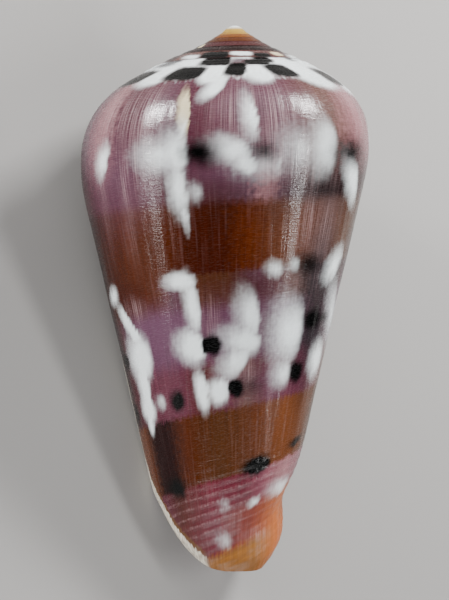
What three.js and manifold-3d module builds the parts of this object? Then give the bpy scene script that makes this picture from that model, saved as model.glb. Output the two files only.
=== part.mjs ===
// An adult cone shell, lying on a flat surface with its aperture down: one solid, hollow inside its last whorl.
// Millimetres, +Z up. The spire points along +Y and the siphonal end along -Y.
// The shell is first grown about its own axis, with the apex at the origin and the axis along -Z,
// and then rolled and tipped into the pose in which it rests.
import * as THREE from "three";
import { mergeVertices } from "three/addons/utils/BufferGeometryUtils.js";
import Module from "manifold-3d";

// Driving dimensions. A depth is a distance below the apex, along the axis.
// A growth stage is counted in turns: 0 at the lip, -1 one whorl earlier.
const LENGTH = 70;
const WHORL_EXPANSION = 1.334; // each whorl is this many times the size of the one before
const SPIRE_TURNS = 6;
const SUTURE_REACH = new THREE.Vector2(12.94, 6.8); // radius and depth where the next whorl is laid on
const RAMP_BULGE = 0.14; // how far the ramp between two sutures rises above a straight line
const SIDE_RADIUS_AT_APEX = 24.85; // the straight side of the lip's whorl, carried up to the apex's level
const SIDE_TAPER = 0.234; // radius lost per millimetre of depth
const SIDE_TOP_DEPTH = 24.2; // where the round shoulder runs out into the straight side
const SHOULDER_PULL = { ramp: 9.7, side: 6.3 }; // lengths of the shoulder curve's two handles
const RAMP_SLOPE = 0.5; // depth gained per millimetre of radius on the spire's ramp
const SPIRE_HOLLOW = { depth: 0.3, radius: 4.6, width: 2.6 }; // the spire's outline is slightly concave
const LIP_NOTCH = { turns: 0.03, atMiddle: 0.012 }; // how far the lip and the growth lines are set back on the ramp

// The siphonal end: the rim's depth at each growth stage, with the fasciole, the ridge along it
const RIM_DEPTHS = [
  [-1, 64.5], [-0.8, 66], [-0.65, 67.6], [-0.5, 68.8], [-0.36, 69.8], [-0.25, LENGTH],
  [-0.2, 69.9], [-0.15, 69.3], [-0.1, 67.5], [-0.065, 65.2], [-0.035, 62.8], [-0.015, 61], [0, 58.8],
];
const CANAL_START = -0.31; // the canal's mouth is open from here to the lip
const RIM_BEVEL = { length: 1.8, drop: 0.6, fade: 0.05 }; // it fades out over this many turns before the lip
const COLUMELLA_ROUNDING = { length: 4, drop: 2.2 };
const FASCIOLE = { depthAtHalfTurn: 60, depthPerTurn: 24, waist: 1.1, width: 3.2, fade: 0.3 };

// The wall and the hollow of the last whorl and a half
const WALL = 1.3;
const LIP_WALL = 0.9;
const LIP_THINNING_TURNS = 0.12;
const CALLUS = 0.2; // the glaze laid over the previous whorl inside the aperture
const HOLLOW_TURNS = 1.5;
const HOLLOW_PAST_LIP = 0.01; // turns that the hollow runs on beyond the lip, so that it is open
const HOLLOW_ROOF = { outer: 0.22, inner: 0.36 }; // where on each shoulder curve the hollow begins
const HOLLOW_OPEN_DEPTH = 74;
const HOLLOW_FLOOR_DEPTHS = [
  [-1.6, 47], [-1, 55], [-0.5, 61.5], [-0.38, 65.5],
  [CANAL_START, HOLLOW_OPEN_DEPTH], [0.05, HOLLOW_OPEN_DEPTH],
];
const LEAST_RADIUS = 0.5;

// The pose at rest
const ROLL_DEGREES = 147.9;
const TILT_DEGREES = 13;

// Facets
const STEPS_PER_TURN = 48;
const RAMP_ROWS = 2;
const SHOULDER_ROWS = 8;
const SIDE_ROWS = 13;
const ROOF_ROWS = 5;
const HOLLOW_SIDE_ROWS = 8;
const APEX_RINGS = 2;
const CAP_RINGS = 2;
const MERGE_TOLERANCE = 1e-4;

const SHELL_COLOUR = 0xa9797a;
const FULL_TURN = 2 * Math.PI;

const wasm = await Module();
wasm.setup();

// The value at a growth stage of a table of [stage, value] rows, on a smooth curve through them.
function smoothTable(rows) {
  const curve = new THREE.SplineCurve(rows.map(([stage, value]) => new THREE.Vector2(stage, value)));
  return (stage) => {
    const last = rows.length - 1;
    if (stage <= rows[0][0]) return rows[0][1];
    if (stage >= rows[last][0]) return rows[last][1];
    const span = rows.findIndex(([start]) => start > stage) - 1;
    const share = (stage - rows[span][0]) / (rows[span + 1][0] - rows[span][0]);
    return curve.getPoint((span + share) / last).y;
  };
}

const rimDepth = smoothTable(RIM_DEPTHS);
const hollowFloorDepth = smoothTable(HOLLOW_FLOOR_DEPTHS);
const growth = (stage) => WHORL_EXPANSION ** stage;
const bump = (x) => Math.exp(-x * x);

// The generating curve at the lip: the ramp from suture to suture, then the shoulder down to the side.
const sutureStart = SUTURE_REACH.clone().divideScalar(WHORL_EXPANSION);
const rampMiddle = sutureStart.clone().lerp(SUTURE_REACH, 0.5);
rampMiddle.y -= 2 * RAMP_BULGE;
const rampCurve = new THREE.QuadraticBezierCurve(sutureStart, rampMiddle, SUTURE_REACH);

const sideTop = new THREE.Vector2(SIDE_RADIUS_AT_APEX - SIDE_TAPER * SIDE_TOP_DEPTH, SIDE_TOP_DEPTH);
const rampDirection = new THREE.Vector2(1, RAMP_SLOPE).normalize();
const sideDirection = new THREE.Vector2(-SIDE_TAPER, 1).normalize();
const shoulderCurve = new THREE.CubicBezierCurve(
  SUTURE_REACH,
  SUTURE_REACH.clone().addScaledVector(rampDirection, SHOULDER_PULL.ramp),
  sideTop.clone().addScaledVector(sideDirection, -SHOULDER_PULL.side),
  sideTop,
);

// The radius of the side at a stage and a depth, with the waist above the fasciole.
function sideRadius(stage, depth) {
  const ridge = FASCIOLE.depthAtHalfTurn + FASCIOLE.depthPerTurn * (stage + 0.5);
  const fade = THREE.MathUtils.smoothstep(-stage, 0, FASCIOLE.fade);
  const waist = FASCIOLE.waist * fade * bump((depth - ridge) / FASCIOLE.width);
  return growth(stage) * SIDE_RADIUS_AT_APEX - SIDE_TAPER * depth - waist;
}

// How far the outer surface has drawn in towards the rim, as its bevel or its rounded columella.
function rimDrop(stage, depth) {
  const closed = THREE.MathUtils.smoothstep(-stage, -CANAL_START, 1.6 * -CANAL_START);
  const length = THREE.MathUtils.lerp(RIM_BEVEL.length, COLUMELLA_ROUNDING.length, closed);
  const bevel = RIM_BEVEL.drop * THREE.MathUtils.smoothstep(-stage, 0, RIM_BEVEL.fade);
  const drop = THREE.MathUtils.lerp(bevel, COLUMELLA_ROUNDING.drop, closed);
  const share = THREE.MathUtils.clamp((depth - rimDepth(stage) + length) / length, 0, 1);
  return drop * share * share;
}

// Points of the outer surface at a growth stage, as radius and depth.
const rampPoint = (stage, share) => rampCurve.getPoint(share).multiplyScalar(growth(stage));
const shoulderPoint = (stage, share) => shoulderCurve.getPoint(share).multiplyScalar(growth(stage));

function sidePoint(stage, share, floor) {
  const depth = THREE.MathUtils.lerp(growth(stage) * SIDE_TOP_DEPTH, floor, share);
  return new THREE.Vector2(Math.max(sideRadius(stage, depth), LEAST_RADIUS), depth);
}

// One growth line: the row of points down the outer surface at a stage, from the suture to the rim.
function growthLine(stage, withSide) {
  const points = [];
  for (let row = 0; row <= RAMP_ROWS; row++) {
    const share = row / RAMP_ROWS;
    const earlier = stage - LIP_NOTCH.turns - LIP_NOTCH.atMiddle * Math.sin(share * Math.PI);
    points.push(inSpace(rampPoint(earlier, share), earlier));
  }
  if (!withSide) return points;
  for (let row = 1; row <= SHOULDER_ROWS; row++) {
    const share = row / SHOULDER_ROWS;
    const earlier = stage - LIP_NOTCH.turns * (1 - THREE.MathUtils.smoothstep(share, 0, 1));
    points.push(inSpace(shoulderPoint(earlier, share), earlier));
  }
  for (let row = 1; row <= SIDE_ROWS; row++) {
    // The rows close up towards the rim, where the surface turns
    const share = Math.sin((row / SIDE_ROWS) * (Math.PI / 2));
    const point = sidePoint(stage, share, rimDepth(stage));
    point.x -= rimDrop(stage, point.y);
    points.push(inSpace(point, stage));
  }
  return points;
}

// A curve's points, each moved sideways by a distance: positive is away from the axis.
function offset(points, distance) {
  return points.map((point, k) => {
    const before = points[Math.max(k - 1, 0)];
    const after = points[Math.min(k + 1, points.length - 1)];
    const along = after.clone().sub(before).normalize();
    return new THREE.Vector2(point.x + along.y * distance, point.y - along.x * distance);
  });
}

// One side of the hollow at a stage: down the shoulder curve from a share of it, then down the side.
function hollowSide(stage, roofShare, floor) {
  const points = [];
  for (let row = 0; row <= ROOF_ROWS; row++) {
    points.push(shoulderPoint(stage, THREE.MathUtils.lerp(roofShare, 1, row / ROOF_ROWS)));
  }
  for (let row = 1; row <= HOLLOW_SIDE_ROWS; row++) {
    points.push(sidePoint(stage, row / HOLLOW_SIDE_ROWS, floor));
  }
  return points;
}

// The hollow's closed outline at a stage: down inside the wall, then up the previous whorl.
function hollowOutline(stage) {
  const floor = hollowFloorDepth(stage);
  const thinning = THREE.MathUtils.smoothstep(stage, -LIP_THINNING_TURNS, 0);
  const wall = THREE.MathUtils.lerp(WALL, LIP_WALL, thinning);
  const outside = offset(hollowSide(stage, HOLLOW_ROOF.outer, floor), -wall);
  const inside = offset(hollowSide(stage - 1, HOLLOW_ROOF.inner, floor), CALLUS);
  for (const point of inside) point.x = Math.max(point.x, LEAST_RADIUS);
  return { outside, inside };
}

// A point of the half-plane at a growth stage, in space. The whorls grow clockwise seen from the apex.
function inSpace(point, stage) {
  const azimuth = -FULL_TURN * stage;
  const hollow = SPIRE_HOLLOW.depth * bump((point.x - SPIRE_HOLLOW.radius) / SPIRE_HOLLOW.width);
  return new THREE.Vector3(
    point.x * Math.cos(azimuth),
    point.x * Math.sin(azimuth),
    -point.y - hollow,
  );
}

// Collects triangles by their corners and turns them into one closed solid.
class Facets {
  corners = [];

  triangle(a, b, c) {
    for (const corner of [a, b, c]) this.corners.push(corner.x, corner.y, corner.z);
  }

  quad(a, b, c, d) {
    this.triangle(a, b, c);
    this.triangle(a, c, d);
  }

  // The sheet between one column of points and the next, which faces outwards.
  strip(column, next) {
    for (let row = 0; row + 1 < Math.min(column.length, next.length); row++) {
      this.quad(column[row], next[row], next[row + 1], column[row + 1]);
    }
  }

  // A rounded cap over a closed loop of points, with a number of rings between the loop and its top.
  dome(loop, top, rings) {
    let ring = loop;
    for (let inward = 1; inward <= rings; inward++) {
      const share = inward / (rings + 1);
      const inner = loop.map((point) => {
        const between = point.clone().lerp(top, share);
        between.z = THREE.MathUtils.lerp(top.z, point.z, (1 - share) ** 2);
        return between;
      });
      for (let k = 0; k + 1 < ring.length; k++) this.quad(ring[k], ring[k + 1], inner[k + 1], inner[k]);
      ring = inner;
    }
    for (let k = 0; k + 1 < ring.length; k++) this.triangle(ring[k], ring[k + 1], top);
  }

  solid() {
    const soup = new THREE.BufferGeometry();
    soup.setAttribute("position", new THREE.Float32BufferAttribute(this.corners, 3));
    const merged = mergeVertices(soup, MERGE_TOLERANCE);
    const index = Array.from(merged.index.array);
    const kept = [];
    for (let k = 0; k < index.length; k += 3) {
      const [a, b, c] = index.slice(k, k + 3);
      if (a !== b && b !== c && c !== a) kept.push(a, b, c);
    }
    return new wasm.Manifold(
      new wasm.Mesh({
        numProp: 3,
        vertProperties: merged.attributes.position.array,
        triVerts: new Uint32Array(kept),
      }),
    );
  }
}

// The shell as if it were solid: the spire's ramps, the last whorl, the face at the lip and both ends.
function filledShell() {
  const facets = new Facets();
  const firstStage = -(SPIRE_TURNS + 1);
  const bodyStart = SPIRE_TURNS * STEPS_PER_TURN;
  const end = bodyStart + STEPS_PER_TURN;
  const columns = [];
  for (let step = 0; step <= end; step++) {
    const stage = firstStage + step / STEPS_PER_TURN;
    columns.push(growthLine(stage, step >= bodyStart));
  }
  for (let step = 0; step < end; step++) facets.strip(columns[step], columns[step + 1]);

  const firstSuture = columns.slice(0, STEPS_PER_TURN + 1).map((column) => column[0]);
  firstSuture.push(...columns[0].slice(0, RAMP_ROWS).toReversed());
  facets.dome(firstSuture.toReversed(), new THREE.Vector3(0, 0, 0), APEX_RINGS);

  const lip = columns[end];
  const underLip = columns[bodyStart];
  const lastRow = lip.length - 1;
  for (let row = 0; row < lastRow; row++) {
    facets.quad(lip[row + 1], lip[row], underLip[Math.max(row, RAMP_ROWS)], underLip[Math.max(row + 1, RAMP_ROWS)]);
  }

  const rim = columns.slice(bodyStart).map((column) => column[lastRow]);
  rim.push(underLip[lastRow]);
  facets.dome(rim, new THREE.Vector3(0, 0, -rimDepth(-0.8)), CAP_RINGS);
  return facets.solid();
}

// The space that the animal lived in: it follows the whorls, narrows inwards and is open at the lip.
function hollow() {
  const facets = new Facets();
  const steps = Math.round(HOLLOW_TURNS * STEPS_PER_TURN);
  const outlines = [];
  for (let step = 0; step <= steps; step++) {
    const stage = THREE.MathUtils.lerp(-HOLLOW_TURNS, HOLLOW_PAST_LIP, step / steps);
    const { outside, inside } = hollowOutline(stage);
    outlines.push({
      outside: outside.map((point) => inSpace(point, stage)),
      inside: inside.map((point) => inSpace(point, stage)),
    });
  }
  const around = ({ outside, inside }) => [...outside, ...inside.toReversed(), outside[0]];
  for (let step = 0; step < steps; step++) {
    facets.strip(around(outlines[step]), around(outlines[step + 1]));
  }
  const first = outlines[0];
  const last = outlines[steps];
  facets.strip(first.inside, first.outside);
  facets.strip(last.outside, last.inside);
  return facets.solid();
}

// A solid as a geometry with flat facets.
function geometryOf(solid) {
  const mesh = solid.getMesh();
  const geometry = new THREE.BufferGeometry();
  geometry.setAttribute("position", new THREE.BufferAttribute(mesh.vertProperties, 3));
  geometry.setIndex(new THREE.BufferAttribute(mesh.triVerts, 1));
  const flat = geometry.toNonIndexed();
  flat.computeVertexNormals();
  return flat;
}

const shell = new THREE.Mesh(
  geometryOf(filledShell().subtract(hollow())),
  new THREE.MeshStandardMaterial({ color: SHELL_COLOUR, roughness: 0.25, metalness: 0 }),
);
shell.name = "shell";

// Rolled about its axis, then laid down with the axis along Y and the spire end higher.
shell.rotation.z = THREE.MathUtils.degToRad(ROLL_DEGREES);
const laid = new THREE.Group();
laid.rotation.x = THREE.MathUtils.degToRad(TILT_DEGREES - 90);
laid.add(shell);

// Set down on the plane z = 0, centred over the origin.
const part = new THREE.Group();
part.add(laid);
part.updateMatrixWorld(true);
const bounds = new THREE.Box3().setFromObject(part, true);
const centre = bounds.getCenter(new THREE.Vector3());
laid.position.set(-centre.x, -centre.y, -bounds.min.z);

export default part;
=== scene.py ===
"""A gauguin cone shell lying aperture down, as it looks in the studio.

The shell is grown by a Geometry Nodes tree from the rule that real shells follow: one growth line, the edge of
the lip, is carried around the axis and enlarged by the same factor at every turn. A depth is a distance below the
apex, along the axis, and a level is the depth that it had on a whorl of the full size. A growth stage is counted in
turns: 0 at the lip, -1 one whorl earlier. Lengths are in millimetres until the shell is laid down.
"""

import json
import logging
import math
import random
from collections.abc import Callable, Iterable, Iterator, Mapping
from dataclasses import astuple, dataclass, field
from enum import Enum
from typing import Union

import bpy
from mathutils import Matrix, Vector


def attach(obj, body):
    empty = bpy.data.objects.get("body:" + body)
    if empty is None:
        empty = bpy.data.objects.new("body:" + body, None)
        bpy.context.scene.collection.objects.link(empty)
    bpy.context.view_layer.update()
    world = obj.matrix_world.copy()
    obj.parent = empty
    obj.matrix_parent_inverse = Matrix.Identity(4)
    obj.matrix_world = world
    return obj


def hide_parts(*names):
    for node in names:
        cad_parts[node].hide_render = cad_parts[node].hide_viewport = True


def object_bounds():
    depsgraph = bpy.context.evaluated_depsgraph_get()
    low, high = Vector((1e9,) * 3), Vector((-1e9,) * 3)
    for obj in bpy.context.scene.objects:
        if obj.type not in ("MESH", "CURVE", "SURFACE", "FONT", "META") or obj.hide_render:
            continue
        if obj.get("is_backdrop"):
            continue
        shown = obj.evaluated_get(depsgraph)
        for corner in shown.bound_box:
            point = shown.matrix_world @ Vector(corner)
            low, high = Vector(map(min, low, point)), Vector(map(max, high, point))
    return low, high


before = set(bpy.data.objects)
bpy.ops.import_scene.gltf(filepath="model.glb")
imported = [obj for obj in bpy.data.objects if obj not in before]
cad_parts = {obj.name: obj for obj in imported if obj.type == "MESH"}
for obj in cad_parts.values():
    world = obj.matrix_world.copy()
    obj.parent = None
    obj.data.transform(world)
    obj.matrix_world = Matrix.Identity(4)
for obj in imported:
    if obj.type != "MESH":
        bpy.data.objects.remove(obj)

LOG = logging.getLogger("cone_shell")
MM = 0.001
RANDOM_SEED = 7

CAD_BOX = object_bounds()

# Short names for the nodes that occur most, and the setting of a change that starts and ends softly
MATH = "ShaderNodeMath"
RANGE = "ShaderNodeMapRange"
VECTOR = "ShaderNodeCombineXYZ"
PARTS = "ShaderNodeSeparateXYZ"
NOISE = "ShaderNodeTexNoise"
MIX = "ShaderNodeMix"
SMOOTH = {"interpolation_type": "SMOOTHSTEP"}


# Node trees


def arithmetic(operation: str, swapped: bool = False) -> Callable[["Field", "Value"], "Field"]:
    """Return the method of Field that joins it with a value in a math node, of vectors where it is one.

    Args:
        operation: the math node's operation.
        swapped: whether the other value comes first.

    Returns:
        The method.
    """

    def joined(this: "Field", other: "Value") -> "Field":
        """Return the field joined with the value.

        Args:
            this: the field.
            other: the value.

        Returns:
            The result.
        """
        kind = "ShaderNodeVectorMath" if this.socket.type == "VECTOR" else MATH
        pair = (other, this) if swapped else (this, other)
        return add_node(this.socket.id_data, kind, *pair, operation=operation)

    return joined


@dataclass(frozen=True)
class Field:
    """One output of a node, which can be added and multiplied like a number.

    Args:
        socket: the output socket that carries the value.
    """

    socket: bpy.types.NodeSocket

    def __getitem__(self, name: str) -> "Field":
        """Return another output of the same node, by its name."""
        return Field(self.socket.node.outputs[name])

    __add__, __radd__ = arithmetic("ADD"), arithmetic("ADD", swapped=True)
    __sub__, __rsub__ = arithmetic("SUBTRACT"), arithmetic("SUBTRACT", swapped=True)
    __mul__, __rmul__ = arithmetic("MULTIPLY"), arithmetic("MULTIPLY", swapped=True)
    __pow__, __rpow__ = arithmetic("POWER"), arithmetic("POWER", swapped=True)
    __truediv__ = arithmetic("DIVIDE")


Value = Union[Field, float, int, bool, str, tuple, Vector, bpy.types.ID, None]


def add_node(
    tree: bpy.types.NodeTree,
    kind: str,
    *values: Value,
    named: Mapping[str, Value] | None = None,
    **settings: object,
) -> Field:
    """Add a node with its settings and its inputs, as links or as constants.

    Args:
        tree: the tree that the node joins.
        kind: the node's type name.
        values: values of the inputs in use, in their order; None leaves one as it is.
        named: values of inputs by name.
        settings: properties of the node, set before its inputs.

    Returns:
        The node's first output in use.
    """
    node = tree.nodes.new(kind)
    for name, setting in settings.items():
        setattr(node, name, setting)
    in_use = [socket for socket in node.inputs if socket.enabled]
    pairs = list(zip(in_use, values)) + [(node.inputs[name], value) for name, value in (named or {}).items()]
    for socket, value in pairs:
        if isinstance(value, Field):
            tree.links.new(value.socket, socket)
        elif value is not None:
            socket.default_value = value
    outputs = [socket for socket in node.outputs if socket.enabled]
    return Field(outputs[0]) if outputs else Field(node.inputs[0])


class TreeWriter:
    """Something that writes one node tree.

    Args:
        tree: the tree.
    """

    def __init__(self, tree: bpy.types.NodeTree) -> None:
        self.tree = tree

    def add(self, kind: str, *values: Value, **settings: object) -> Field:
        """Add a node to the tree, as add_node does."""
        return add_node(self.tree, kind, *values, **settings)


class NumberTree(TreeWriter):
    """Something that writes a geometry tree with numbers as its inputs and outputs.

    Args:
        name: the tree's name.
        inputs: the names of its inputs.
        outputs: the names of its outputs.
    """

    def __init__(self, name: str, inputs: Iterable[str], outputs: Iterable[str]) -> None:
        super().__init__(bpy.data.node_groups.new(name, "GeometryNodeTree"))
        for side, sockets in (("INPUT", inputs), ("OUTPUT", outputs)):
            for socket in sockets:
                self.tree.interface.new_socket(socket, in_out=side, socket_type="NodeSocketFloat")
        self.given = self.add("NodeGroupInput")


def linear(hex_colour: str) -> tuple[float, float, float, float]:
    """Turn an sRGB colour such as "a87a78" into the linear colour that a shader takes.

    Args:
        hex_colour: six hexadecimal digits.

    Returns:
        Linear red, green and blue, with an alpha of one.
    """
    channels = [int(hex_colour[k : k + 2], 16) / 255 for k in (0, 2, 4)]
    red, green, blue = (c / 12.92 if c <= 0.04045 else ((c + 0.055) / 1.055) ** 2.4 for c in channels)
    return (red, green, blue, 1.0)


# The marks of the pattern


class Tone(Enum):
    """What a mark is made of: the attribute that carries it, and its place there."""

    WHITE = ("marks", 0)
    BLACK = ("marks", 1)
    LILAC = ("marks", 2)
    BROWN = ("tints", 0)
    CREAM = ("tints", 1)
    # Grey is grey clouding; the long grey marks along the left and right edges of the last whorl are painted shade.
    GREY = ("tints", 2)
    # A veil is pale growth lines; where the softbox highlights fall on the last whorl it is also painted highlight.
    VEIL = ("veils", 0)
    # A dusk is dark patches; along the left and right edges of the last whorl, which turn away from the light, it is
    # painted shade.
    DUSK = ("veils", 1)

    @property
    def attribute(self) -> str:
        """Return the name of the attribute that carries the tone."""
        return self.value[0]


@dataclass(frozen=True)
class Mark:
    """One mark on the outside of the shell, an oval with a sharper older side and a softer newer one.

    Args:
        tone: what it is made of.
        stage: the growth stage at its middle, in turns.
        depth: its middle's depth, in millimetres.
        turns: half its width, in turns.
        length: half its length along the growth line, in millimetres.
        slant: how far it leans, in turns for each millimetre of depth.
        older: how much of it the older side's edge fades over, from 0 to 1.
        newer: the same for the side towards the lip.
        strength: how fully it covers.
        squareness: 2 for an oval, more for a rounded block, which has crisper ends.
    """

    tone: Tone
    stage: float
    depth: float
    turns: float
    length: float
    slant: float = 0.0
    older: float = 0.3
    newer: float = 0.7
    strength: float = 1.0
    squareness: float = 2.0

    @property
    def ends(self) -> float:
        """Return how much of it the edges of its upper and lower ends fade over, at the least."""
        return 3.6 / self.squareness**2
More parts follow.
